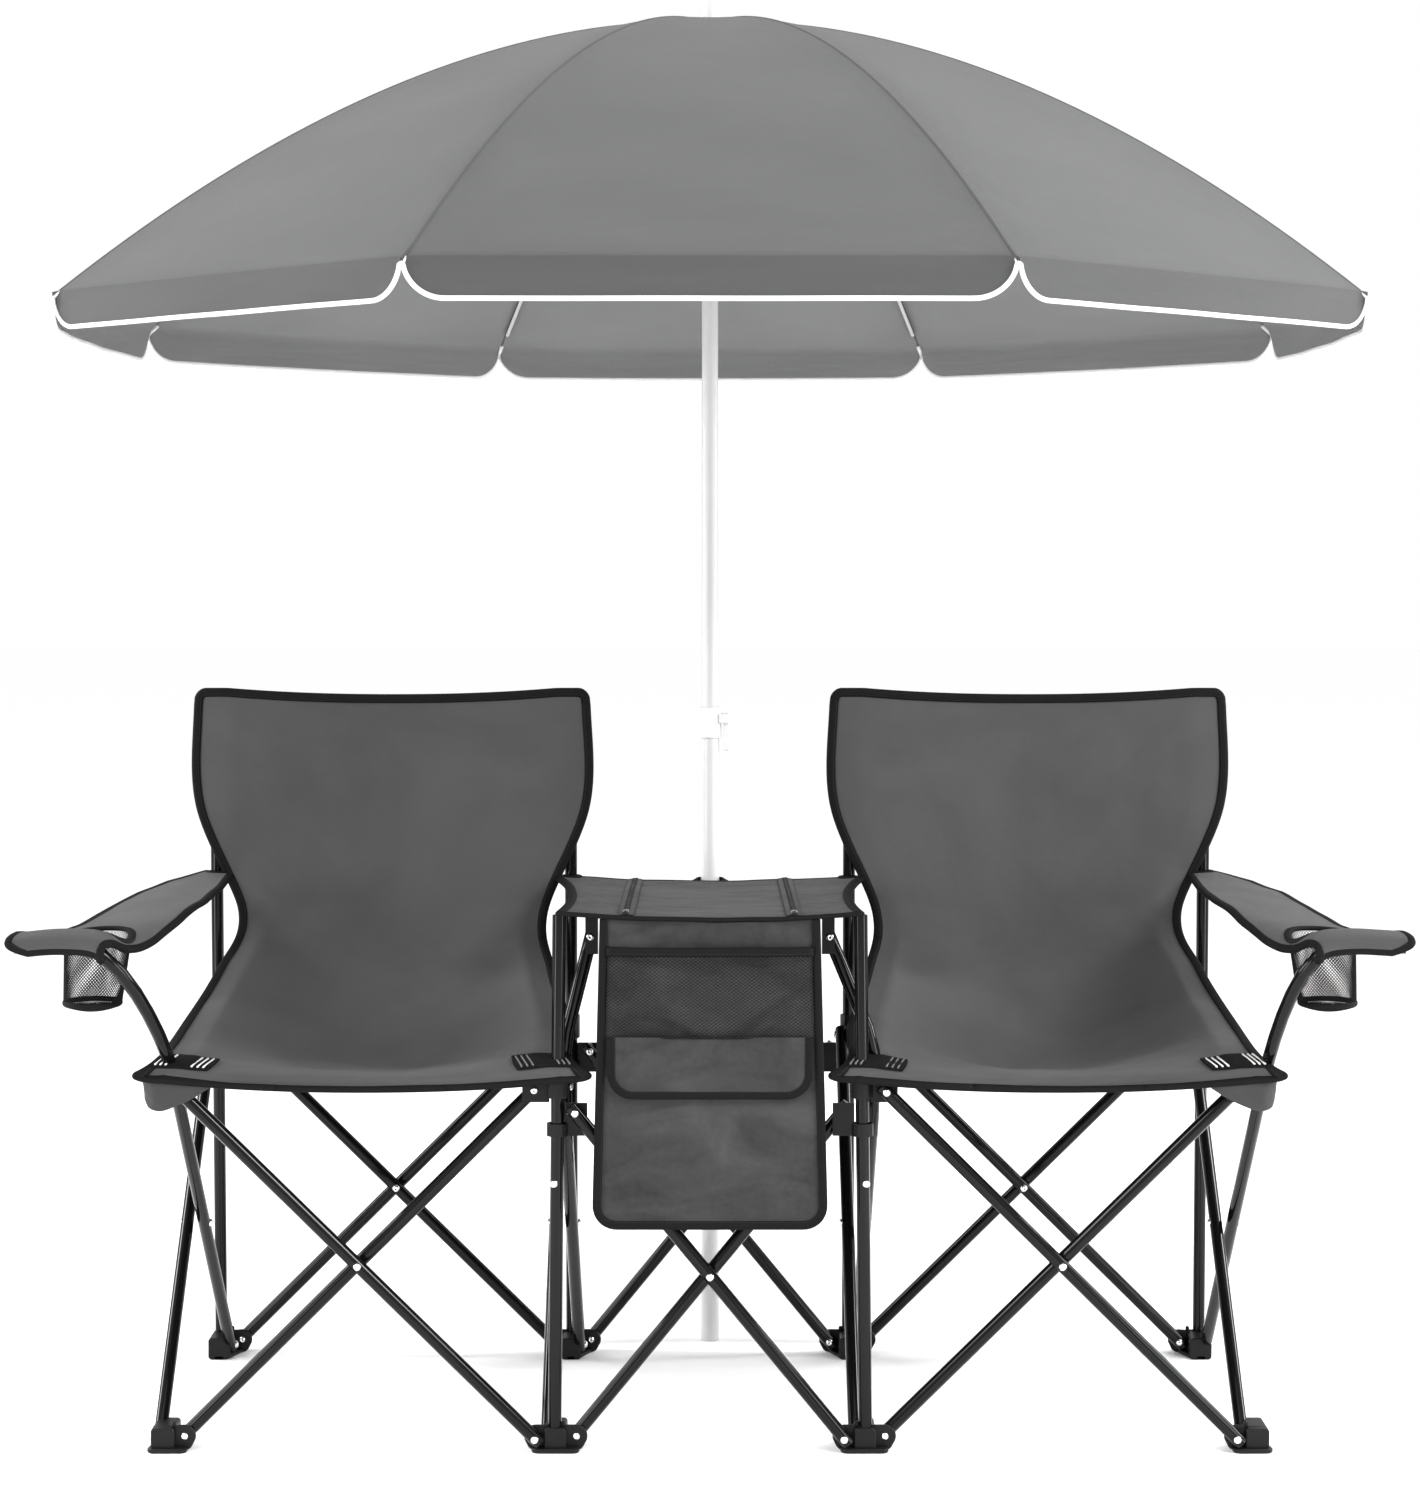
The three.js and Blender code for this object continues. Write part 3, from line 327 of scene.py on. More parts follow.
class Finishes:
    """Every finish of the object, made once each."""

    TUBE = Coated("black_powder_coat", (0.0030, 0.0030, 0.0032), 0.07, 1400.0, 0.00001, 0.03, specular=0.18)
    MOULDING = Coated("black_moulding", (0.006, 0.006, 0.0063), 0.42, 1800.0, 0.00006, 0.08, specular=0.16)
    # The sling cloth's cloudy tone is partly painted shade: the soft blotches of shade from the cloth's
    # undulation.
    SLING = Woven("sling_cloth", (0.0530, 0.0530, 0.0539), 0.82, mottle=0.17, crease=0.0026, swirl=0.5)
    # The pouch is the sling's own cloth in a darker copy: painted shade under the seat's front edge.
    POUCH = Woven("pouch_cloth", (0.0320, 0.0320, 0.0326), 0.82, mottle=0.17, crease=0.0026, swirl=0.5)
    # The table top is the console's cloth in a copy of its own, its tone set down to offset the light that
    # falls on the top: painted shade.
    TABLE = Woven("table_cloth", (0.0205, 0.0205, 0.0208), 0.75, mottle=0.70, crease=0.0060,
                  specular=0.14, swirl=0.8)
    # The console cloth's strong cloudy tone is painted highlights and painted shade: the light streaks of its
    # creases, on the panel, flap and bag.
    CONSOLE = Woven("console_cloth", (0.0185, 0.0185, 0.0188), 0.50, mottle=1.05, crease=0.0070,
                    specular=0.11, cloud=10.0, swirl=0.9)
    # The cloth behind the net is the console cloth with its tone swung far: painted highlights of glossy
    # creases, seen through the net.
    POCKET = Woven("pocket_back", (0.0190, 0.0190, 0.0193), 0.50, mottle=2.2, crease=0.0080,
                   specular=0.11, cloud=10.0, swirl=1.2)
    CANOPY = Woven("canopy_cloth", (0.0690, 0.0694, 0.0705), 0.85, 0.0008, 0.0001, 0.06, 0.0010)
    # The valance is the canopy cloth in a darker copy: painted shade on the hanging edge.
    VALANCE = Woven("valance_cloth", (0.0545, 0.0549, 0.0557), 0.85, 0.0008, 0.0001, 0.06, 0.0010)
    # The underside is the canopy cloth in a lighter copy: painted light that shines through the cloth.
    LIT_UNDERSIDE = Woven("canopy_lining", (0.144, 0.145, 0.147), 0.85, 0.0008, 0.0001, 0.06, 0.0010)
    SEAM = Woven("canopy_seam", (0.0570, 0.0573, 0.0583), 0.85, 0.0008, 0.0001, 0.06, 0.0)
    BINDING = Tape("black_binding", (0.0050, 0.0050, 0.0053), 0.74)
    WHITE_BINDING = Tape("white_binding", (0.68, 0.68, 0.675), 0.7, (0.60, 0.60, 0.595))
    POLE = Coated("white_enamel", (0.50, 0.50, 0.4975), 0.34, 700.0, 0.00002, 0.05, coat=0.25,
                  spread_tint=0.03)
    FITTING = Coated("white_moulding", (0.62, 0.62, 0.617), 0.42, 1500.0, 0.00004, 0.06, spread_tint=0.03)
    RIB = Coated("pale_rib", (0.44, 0.44, 0.437), 0.42, 1500.0, 0.00004, 0.06, spread_tint=0.03)
    RIVET = Coated("bright_rivet", (0.78, 0.78, 0.79), 0.24, 2500.0, 0.00002, 0.08, 1.0)
    SLIDER = Coated("grey_slider", (0.20, 0.20, 0.205), 0.34, 2500.0, 0.00002, 0.08, 1.0)
    NET = Coated("black_net", (0.005, 0.005, 0.0053), 0.62, 3000.0, 0.00004, 0.1, specular=0.08)
    ZIP = Coated("black_zip", (0.008, 0.008, 0.0083), 0.5, 2500.0, 0.00004, 0.1, specular=0.16)
    DULL_THREAD = Coated("dull_thread", (0.10, 0.10, 0.10), 0.8, 3000.0, 0.00004, 0.1)
    THREAD = Coated("pale_thread", (0.62, 0.62, 0.61), 0.8, 3000.0, 0.00004, 0.1)
    FLOOR = Coated("pale_floor", (0.99, 0.99, 0.99), 0.9, 40.0, 0.0, 0.02, specular=0.0, spread_tint=0.001)
    _made: dict[str, bpy.types.Material] = {}

    @classmethod
    def get(cls, finish: Finish) -> bpy.types.Material:
        """Returns a finish's material, building it the first time."""
        if finish.name not in cls._made:
            cls._made[finish.name] = finish.make()
        return cls._made[finish.name]


@dataclass(frozen=True)
class Squash:
    """How a soft piece draws together as the frame folds."""

    axis: Triple
    anchor: Triple
    keep: float


def new_object(name: str, bm: Mesh) -> Piece:
    """Turns a bmesh into an object in the scene, with smooth faces.

    Args:
        name: the object's name.
        bm: the mesh, which is freed.

    Returns:
        The new object, at the origin.
    """
    mesh = bpy.data.meshes.new(name)
    for face in bm.faces:
        face.smooth = True
    bm.to_mesh(mesh)
    bm.free()
    piece = bpy.data.objects.new(name, mesh)
    bpy.context.scene.collection.objects.link(piece)
    return piece


def faces_of(verts: Sequence[bmesh.types.BMVert]) -> list[bmesh.types.BMFace]:
    """Returns the faces round some points, each once and in a steady order."""
    return list(dict.fromkeys(face for vert in verts for face in vert.link_faces))


def mapped(bm: Mesh, columns: int, rows: int, place: Place, cut: Pair = (1.0, 1.0),
           pattern: Pattern | None = None) -> list[bmesh.types.BMVert]:
    """Adds a grid and moves each of its points to its place.

    Args:
        bm: the mesh to add to.
        columns: cells across.
        rows: cells along.
        place: gives the point at shares across and along.
        cut: the sheet's size in metres, for the pattern's coordinates.
        pattern: gives the pattern's coordinates instead, at shares across and along.

    Returns:
        The new points.
    """
    layer = bm.loops.layers.uv.verify()
    verts = bmesh.ops.create_grid(bm, x_segments=columns, y_segments=rows, size=0.5)["verts"]
    spots = {vert: (vert.co.x + 0.5, vert.co.y + 0.5) for vert in verts}
    for face in faces_of(verts):
        for loop in face.loops:
            u, v = spots[loop.vert]
            loop[layer].uv = pattern(u, v) if pattern else (u * cut[0], v * cut[1])
    for vert, (u, v) in spots.items():
        vert.co = place(u, v)
    return verts


def loft(bm: Mesh, columns: int, rows: int, place: Place, cut: Pair = (1.0, 1.0), capped: bool = True,
         pattern: Pattern | None = None) -> None:
    """Adds a grid that closes on itself across, with its ends capped.

    Args:
        bm: the mesh to add to.
        columns: cells round the section.
        rows: cells along.
        place: gives the point at shares round and along.
        cut: the surface's size in metres, for the pattern's coordinates.
        capped: whether open ends are filled.
        pattern: gives the pattern's coordinates instead, at shares round and along.
    """
    verts = mapped(bm, columns, rows, place, cut, pattern)
    faces = faces_of(verts)
    bmesh.ops.remove_doubles(bm, verts=verts, dist=1e-6)
    faces = [face for face in faces if face.is_valid]
    if capped:
        edges = dict.fromkeys(edge for face in faces for edge in face.edges)
        rims = [edge for edge in edges if edge.is_boundary]
        faces += bmesh.ops.holes_fill(bm, edges=rims, sides=0)["faces"]
    bmesh.ops.recalc_face_normals(bm, faces=faces)


@dataclass(frozen=True)
class Stop:
    """One point of a route over a surface, with the surface's normal there."""

    point: Vector
    normal: Vector


def tape_section(width: float, half: float) -> Section:
    """Returns the rounded section of a tape that is folded over an edge.

    Args:
        width: how far the tape reaches in from the edge.
        half: half of its thickness.

    Returns:
        Points round the section.
    """
    lip = half * 0.7
    return [
        (-half, 0.0), (-lip, lip), (0.0, half), (width * 0.5, half), (width, half * 0.86),
        (width + half * 0.2, 0.0), (width, -half * 0.86), (width * 0.5, -half), (0.0, -half), (-lip, -lip),
    ]


def along_route(bm: Mesh, route: Sequence[Stop], section: Section) -> None:
    """Sweeps a section along a route on a surface.

    Args:
        bm: the mesh to add to.
        route: the stops, in order, with the surface to the left of the travel.
        section: points round the section, as distances in from the route and out along the normal.
    """
    last = len(route) - 1
    sides = len(section)
    lengths = [0.0]
    frames = []
    for i, stop in enumerate(route):
        before, after = route[max(i - 1, 0)].point, route[min(i + 1, last)].point
        lengths.append(lengths[-1] + (after - stop.point).length)
        run = (after - before).normalized()
        inward = stop.normal.cross(run).normalized()
        frames.append((inward, run.cross(inward).normalized()))

    def place(u: float, v: float) -> Vector:
        """Returns the point at shares round the section and along the route."""
        i = round(v * last)
        across, out = section[round(u * sides) % sides]
        return route[i].point + frames[i][0] * across + frames[i][1] * out

    def pattern(u: float, v: float) -> Pair:
        """Returns the distances along the route and in from it."""
        return lengths[round(v * last)], section[round(u * sides) % sides][0]

    loft(bm, sides, last, place, pattern=pattern)


def catmull(points: Sequence[Vector], share: float) -> Vector:
    """Returns a point on a smooth curve through points.

    Args:
        points: what the curve passes through.
        share: how far along, from 0 to 1.

    Returns:
        The point.
    """
    spans = len(points) - 1
    x = min(max(share, 0.0), 1.0) * spans
    i = min(int(x), spans - 1)
    t = x - i
    b, c = points[i], points[i + 1]
    a = points[i - 1] if i else 2.0 * b - c
    d = points[i + 2] if i + 2 <= spans else 2.0 * c - b
    return 0.5 * (2.0 * b + (c - a) * t + (2.0 * a - 5.0 * b + 4.0 * c - d) * t * t
                  + (3.0 * b - a - 3.0 * c + d) * t ** 3)


def dress(piece: Piece, finish: Finish, body: str, squash: Squash | None = None) -> Piece:
    """Gives a piece its finish and its body, and a mesh of its own if it draws together.

    Args:
        piece: the finished piece.
        finish: its surface.
        body: the body that it rides on.
        squash: how it draws together, if it does.

    Returns:
        The piece.
    """
    piece.data.materials.append(Finishes.get(finish))
    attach(piece, body)
    if squash:
        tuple(squash.axis)
        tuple(squash.anchor)
        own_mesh(piece)
    log.info("piece %s rides on %s", piece.name, body)
    return piece


def thicken(piece: Piece, thickness: float, offset: float = 0.0) -> None:
    """Gives a sheet a thickness, with its rims kept sharp.

    Args:
        piece: the sheet.
        thickness: in metres.
        offset: 0 for both ways, -1 for behind the face only.
    """
    solid = piece.modifiers.new("thickness", "SOLIDIFY")
    solid.thickness = thickness
    solid.offset = offset
    edge = piece.modifiers.new("crisp_rims", "EDGE_SPLIT")
    edge.split_angle = math.radians(RIM_ANGLE)


def sheet_piece(name: str, cells: Cells, place: Place, thickness: float, offset: float = 0.0,
                cut: Pair = (1.0, 1.0), pattern: Pattern | None = None) -> Piece:
    """Builds a sheet with a thickness.

    Args:
        name: the piece's name.
        cells: cells across and along.
        place: gives the point at shares across and along.
        thickness: in metres.
        offset: 0 for both ways, -1 for behind the face only.
        cut: the sheet's size in metres, for the pattern's coordinates.
        pattern: gives the pattern's coordinates instead.

    Returns:
        The piece.
    """
    bm = bmesh.new()
    mapped(bm, *cells, place, cut, pattern)
    piece = new_object(name, bm)
    thicken(piece, thickness, offset)
    return piece


def swept(name: str, routes: Sequence[Sequence[Stop]], section: Section) -> Piece:
    """Builds one piece from a section that is swept along each of some routes."""
    bm = bmesh.new()
    for route in routes:
        along_route(bm, route, section)
    return new_object(name, bm)


def block(bm: Mesh, spot: Vector, size: Sequence[float], turn: Matrix | None = None) -> None:
    """Adds a small block.

    Args:
        bm: the mesh to add to.
        spot: its middle.
        size: its lengths along its own axes.
        turn: how it is turned, if it is.
    """
    matrix = Matrix.Translation(spot) @ (turn or Matrix.Identity(4)) @ Matrix.Diagonal((*size, 1.0))
    bmesh.ops.create_cube(bm, size=1.0, matrix=matrix)


def facing(place: Place, u: float, v: float, step: float, low: float) -> Vector:
    """Returns the normal of a surface of the right side.

    Args:
        place: gives the surface's point.
        u: the place across.
        v: the place along.
        step: how far apart the points are that it is worked out from.
        low: the least place across.

    Returns:
        The normal, of length 1.
    """
    wide = place(min(u + step, 1.0), v) - place(max(u - step, low), v)
    long = place(u, min(v + step, 1.0)) - place(u, max(v - step, 0.0))
    return long.cross(wide).normalized()


def shares(steps: int) -> list[float]:
    """Returns evenly spaced shares from 0 to 1."""
    return [i / steps for i in range(steps + 1)]


@dataclass(frozen=True)
class CornerSteps:
    """Finer steps of a binding's route round a corner, and where the even steps stop short of it."""

    along: float
    along_count: int
    along_clear: float
    across: float
    across_count: int
    across_clear: float


@dataclass
class Sling:
    """One chair's cloth: a back on the uprights and a seat hung from the front hubs."""

    side: Side
    back_top: float = 0.818
    back_half: float = 0.238
    waist_z: float = 0.548
    waist_half: float = 0.186
    corner_z: float = 0.4130
    seat_dip: float = 0.0113
    nose: float = 0.018
    front_outer_x: float = 0.636
    front_inner_x: float = 0.120
    front_set: float = 0.023
    sleeve_gap: float = 0.0097
    sleeve_share: float = 0.84
    bowl: float = 2.2
    seam: float = 0.40
    corners: Pair = (0.012, 0.045)
    thickness: float = 0.0018
    tape_width: float = 0.0076
    tape_half: float = 0.0030
    strips: tuple[float, ...] = (-1.0, -0.36, 0.36, 1.0)
    route_steps: int = 36
    hem_steps: int = 24
    top_steps: CornerSteps = CornerSteps(0.0008, 12, 0.01, 0.004, 14, 0.94)
    front_steps: CornerSteps = CornerSteps(0.0036, 18, 0.93, 0.010, 19, 0.81)
    drag: Pair = (0.0058, 0.0024)
    drag_scale: Triple = (7.0, 9.0, 5.0)
    drag_finer: float = 2.7
    drag_shift: float = 3.0
    calm: Pair = (5.0, 12.0)
    patch_share: float = 0.27
    patch_in: float = 0.012
    patch_near: float = 0.078
    patch_deep: float = 0.060
    patch_rise: float = 0.0028
    tacks: tuple[float, ...] = (0.08, 0.17, 0.26, 0.70, 0.80, 0.90)
    tack_lean: float = 0.02
    tack_span: Pair = (0.12, 0.88)
    tack_size: Pair = (0.0017, 0.0014)
    pouch_plan: tuple[Pair, ...] = (
        (0.603, -0.452), (0.616, -0.462), (0.6175, -0.490), (0.6165, -0.512), (0.605, -0.5238),
        (0.585, -0.5246), (0.562, -0.5246), (0.543, -0.5240),
    )
    pouch_span: Pair = (0.4105, 0.3785)
    pouch_round: float = 0.016
    pouch_cut: Pair = (0.170, 0.042)
    pouch_middle: Triple = (0.585, -0.487, 0.0)
    pouch_lift: float = 0.026
    pouch_lift_from: float = 0.62
    pouch_lift_power: float = 1.3
    pouch_bulge: Pair = (0.30, 0.17)
    pouch_tuck: float = 0.003
    pouch_crease: float = 0.0012
    pouch_crease_scale: Pair = (9.0, 3.0)
    pouch_cells: Cells = (60, 16)
    back_cells: Cells = (56, 44)
    strip_cells: Cells = (20, 56)
    patch_cells: Cells = (16, 6)
    webbing: Pair = (0.02, 0.07)
    normal_step: float = 0.002
    back_keep: float = 0.2884
    seat_keep: float = 0.13
    crumple_axis: Triple = (0, 0.893, 0.449)
    crumple_z: float = 0.50

    def __post_init__(self) -> None:
        """Works out the stations from the top of the back to the front of the seat."""
        self.back_y = REAR_Y - self.sleeve_gap
        front_y = FRONT_Y - self.front_set
        depth = self.back_y - front_y
        drop = self.waist_z - self.corner_z
        height = self.back_top - self.waist_z
        seat_z = self.corner_z - self.seat_dip
        back_x = (OUTER_UPRIGHT_X + INNER_UPRIGHT_X) / 2
        front_x = (self.front_outer_x + self.front_inner_x) / 2
        front_half = (self.front_outer_x - self.front_inner_x) / 2
        y, z = self.back_y, self.waist_z
        # Each station: half the width, the middle's x, and (y, z) at the edges and in the middle
        stations = [
            (self.back_half, back_x, (y, self.back_top), (y + 0.008, self.back_top - 0.008)),
            (self.back_half, back_x, (y, z + 0.49 * height), (y + 0.020, z + 0.47 * height)),
            (self.waist_half, back_x, (y - 0.004, z), (y + 0.010, z - 0.1 * drop)),
            (self.waist_half + 0.014, back_x, (y - 0.22 * depth, z - 0.45 * drop),
             (y - 0.10 * depth, seat_z + 0.35 * drop)),
            (front_half - 0.036, (back_x + front_x) / 2, (y - 0.55 * depth, z - 0.78 * drop),
             (y - 0.42 * depth, seat_z - 0.08 * drop)),
            (front_half - 0.032, front_x, (y - 0.94 * depth, self.corner_z + self.nose),
             (y - 0.92 * depth, seat_z + 0.75 * self.nose)),
            (front_half, front_x, (front_y, self.corner_z), (front_y + 0.006, seat_z)),
        ]
        self.edges = [Vector((x, *edge)) for _, x, edge, _ in stations]
        self.middles = [Vector((x, *middle)) for _, x, _, middle in stations]
        self.halves = [Vector((half, 0.0, 0.0)) for half, _, _, _ in stations]
        self.length = height + depth

    def bare(self, across: float, along: float) -> Vector:
        """Returns the smooth surface's point, with across from the inner edge, -1, to the outer, 1."""
        edge = catmull(self.edges, along)
        edge.y = min(edge.y, self.back_y)
        fall = 1.0 - min(1.0, abs(across) / self.sleeve_share) ** self.bowl
        point = edge.lerp(catmull(self.middles, along), fall)
        half = catmull(self.halves, along).x
        return Vector((self.side.value * (point.x + across * half), point.y, point.z))

    def rounded(self, across: float, along: float) -> Pair:
        """Draws the corners of the cut in to a radius, in shares across and along."""
        half = catmull(self.halves, along).x
        corner = self.corners[0 if along < 0.5 else 1]
        from_end = min(along, 1.0 - along) * self.length
        from_side = (1.0 - abs(across)) * half
        a, b = corner - from_side, corner - from_end
        if a <= 0.0 or b <= 0.0 or math.hypot(a, b) <= corner:
            return across, along
        share = corner / math.hypot(a, b)
        side = 1.0 - (corner - a * share) / half
        end = (corner - b * share) / self.length
        return math.copysign(side, across), end if along < 0.5 else 1.0 - end

    def at(self, across: float, along: float) -> Vector:
        """Returns the cloth's point, with its soft creases."""
        across, along = self.rounded(across, along)
        point = self.bare(across, along)
        near = self.calm[1]
        calm = min(1.0, (1.0 - abs(across)) * self.calm[0]) * min(1.0, along * near, (1.0 - along) * near)
        drift = Vector(a * b for a, b in zip(point, self.drag_scale))
        drift.z += self.drag_shift * self.side.value
        drag = noise.noise(drift) * self.drag[0] + noise.noise(drift * self.drag_finer) * self.drag[1]
        return point + self.normal(across, along) * drag * calm

    def normal(self, across: float, along: float) -> Vector:
        """Returns the surface's normal, towards the person who sits there."""
        return facing(self.bare, across, along, self.normal_step, -1.0) * self.side.value

    def stop(self, across: float, along: float) -> Stop:
        """Returns a stop of a tape's route on the cloth."""
        return Stop(self.at(across, along), self.normal(across, along))

    def sheet(self, name: str, low: Pair, high: Pair, cells: Cells) -> Piece:
        """Builds a stretch of the cloth.

        Args:
            name: the piece's name.
            low: where it starts, across and along.
            high: where it ends.
            cells: cells across and along.

        Returns:
            The piece.
        """
        def share(u: float, v: float) -> Pair:
            """Returns the place across and along the whole cloth."""
            across = low[0] + (high[0] - low[0]) * (u if self.side is Side.RIGHT else 1.0 - u)
            return across, low[1] + (high[1] - low[1]) * v

        def place(u: float, v: float) -> Vector:
            """Returns the point at shares across and along the stretch."""
            return self.at(*share(u, v))

        def pattern(u: float, v: float) -> Pair:
            """Returns the place on the whole cut, so that the weave runs on from stretch to stretch."""
            across, along = share(u, v)
            return across * self.back_half, along * self.length

        return sheet_piece(name, cells, place, self.thickness, pattern=pattern)

    def tape(self, name: str, route: Sequence[Pair]) -> Piece:
        """Builds a binding along a route of shares across and along."""
        stops = [self.stop(*share) for share in route]
        if self.side is Side.RIGHT:
            stops.reverse()
        return swept(name, [stops], tape_section(self.tape_width, self.tape_half))

    def back_route(self) -> list[Pair]:
        """Returns the route up the inner side of the back, over its top and down the outer side."""
        steps, fine = self.route_steps, self.top_steps
        sides = [self.seam * (1.0 - i / steps) for i in range(steps)]
        rise = [(-1.0, v) for v in sides if v > fine.along_clear]
        rise += [(-1.0, fine.along * i) for i in range(fine.along_count, 0, -1)]
        top = [-1.0 + 2.0 * share for share in shares(2 * steps)]
        corner = [fine.across * i for i in range(fine.across_count)]
        over = [(-1.0 + u, 0.0) for u in corner]
        over += [(u, 0.0) for u in top if abs(u) < fine.across_clear]
        over += [(1.0 - u, 0.0) for u in reversed(corner)]
        return rise + over + [(1.0, v) for _, v in reversed(rise)]

    def seat_route(self, low: float, high: float) -> list[Pair]:
        """Returns the route along a strip's front edge, and along the seat's side if the strip has one."""
        fine = self.front_steps
        front = [(low + (high - low) * j / self.hem_steps, 1.0) for j in range(self.hem_steps + 1)]
        end = low if low == self.strips[0] else high
        if abs(end) < 1.0:
            return front
        depth = [self.seam + (1.0 - self.seam) * share for share in shares(self.route_steps)]
        flank = [(end, v) for v in depth if v < fine.along_clear]
        flank += [(end, 1.0 - fine.along * j) for j in range(fine.along_count, 0, -1)]
        flank += [(end - math.copysign(fine.across * j, end), 1.0) for j in range(fine.across_count)]
        rest = [share for share in front if abs(share[0]) < fine.across_clear]
        return flank + rest if end < 0.0 else rest + flank[::-1]

    def build(self) -> None:
        """Builds and dresses the back, the seat's strips, their bindings and the slot patches."""
        sign, word = self.side.value, self.side.word
        inner_body = f"rear_{word}_inner"
        draw_in = Squash((1, 0, 0), (sign * INNER_UPRIGHT_X, 0, 0), self.back_keep)
        back = self.sheet(f"{word}_back_cloth", (-1.0, 0.0), (1.0, self.seam), self.back_cells)
        back_tape = self.tape(f"{word}_back_binding", self.back_route())
        dress(back_tape, Finishes.BINDING, inner_body, draw_in)
        dress(back, Finishes.SLING, inner_body, draw_in)
        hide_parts(f"{word}_sling")
        bodies = (inner_body, f"{word}_sling", f"rear_{word}_outer")
        crumple = Squash(self.crumple_axis, (0, self.back_y, self.crumple_z), self.seat_keep)
        for i, part in enumerate(("inner", "middle", "outer")):
            low, high = self.strips[i], self.strips[i + 1]
            strip = self.sheet(f"{word}_seat_{part}_cloth", (low, self.seam), (high, 1.0), self.strip_cells)
            tape = self.tape(f"{word}_seat_{part}_binding", self.seat_route(low, high)[::-1])
            dress(tape, Finishes.BINDING, bodies[i], crumple)
            dress(strip, Finishes.SLING, bodies[i], crumple)
            trims = [tape]
            if part != "middle":
                trims += self.slot_patch(part, bodies[i], crumple)
        self.pouch()

    def slot_patch(self, part: str, body: str, squash: Squash) -> list[Piece]:
        """Builds and dresses the webbing patch that a post passes through, and its bar tacks.

        Args:
            part: which front corner, inner or outer.
            body: the body that the corner rides on.
            squash: how the corner draws together.

        Returns:
            The patch and its bar tacks.
        """
        end = 1.0 if part == "outer" else -1.0
        word = self.side.word

        def on_seat(across: float, depth: float, rise: float) -> Vector:
            """Returns a point over the cloth, at shares in from the corner and a depth from the front."""
            spot = end * (1.0 - across * self.patch_share - self.patch_in)
            along = 1.0 - depth / self.length
            return self.at(spot, along) + self.normal(spot, along) * rise

        def place(u: float, v: float) -> Vector:
            """Returns the patch's point at shares in from the corner and in from the front."""
            return on_seat(u, self.patch_near + self.patch_deep * v, self.patch_rise)

        def pattern(u: float, v: float) -> Pair:
            """Returns the distances along the webbing and across it."""
            return v * self.patch_deep, u * self.webbing[1] + self.webbing[0]

        name = f"{word}_seat_{part}"
        patch = sheet_piece(f"{name}_slot_patch", self.patch_cells, place, self.thickness, pattern=pattern)
        dress(patch, Finishes.BINDING, body, squash)
        bm = bmesh.new()
        proud = self.patch_rise + self.thickness
        for share in self.tacks:
            near, far = (self.patch_near + self.patch_deep * deep for deep in self.tack_span)
            first, last = on_seat(share, near, proud), on_seat(share + self.tack_lean, far, proud)
            run = last - first
            size = (self.tack_size[0], run.length, self.tack_size[1])
            block(bm, (first + last) / 2, size, run.to_track_quat("Y", "Z").to_matrix().to_4x4())
        tacks = new_object(f"{name}_bar_tacks", bm)
        thread = Finishes.THREAD if part == "outer" else Finishes.DULL_THREAD
        dress(tacks, thread, body, squash)
        return [patch, tacks]

    def pouch(self) -> None:
        """Builds and dresses the cloth pouch that covers the outer front hub."""
        word, sign = self.side.word, self.side.value
        plan = [Vector((sign * x, y, 0.0)) for x, y in self.pouch_plan]
        middle = self.side.mirror(self.pouch_middle)
        high, low = self.pouch_span

        def place(u: float, v: float) -> Vector:
            """Returns the pouch's point at shares round it and down it."""
            spot = catmull(plan, u)
            far = max(0.0, (u - self.pouch_lift_from) / (1.0 - self.pouch_lift_from))
            lift = far ** self.pouch_lift_power * self.pouch_lift
            tuck = self.pouch_tuck * v * v
            bulge = math.exp(-((u - self.pouch_bulge[0]) / self.pouch_bulge[1]) ** 2)
            bottom = low + lift + self.pouch_round * bulge
            ripple = Vector((u * self.pouch_crease_scale[0], v * self.pouch_crease_scale[1], sign))
            crease = self.pouch_crease * noise.noise(ripple)
            inward = (middle - spot).normalized()
            return spot + inward * (tuck + crease) + Vector((0.0, 0.0, high + (bottom - high) * v))

        cut = (self.pouch_cut[0], high - low)
        pouch = sheet_piece(f"{word}_corner_pouch", self.pouch_cells, place, self.thickness, cut=cut)
        # The pouch takes the darker copy of the sling cloth: painted shade.
        dress(pouch, Finishes.POUCH, f"{word}_outer_front_hub")


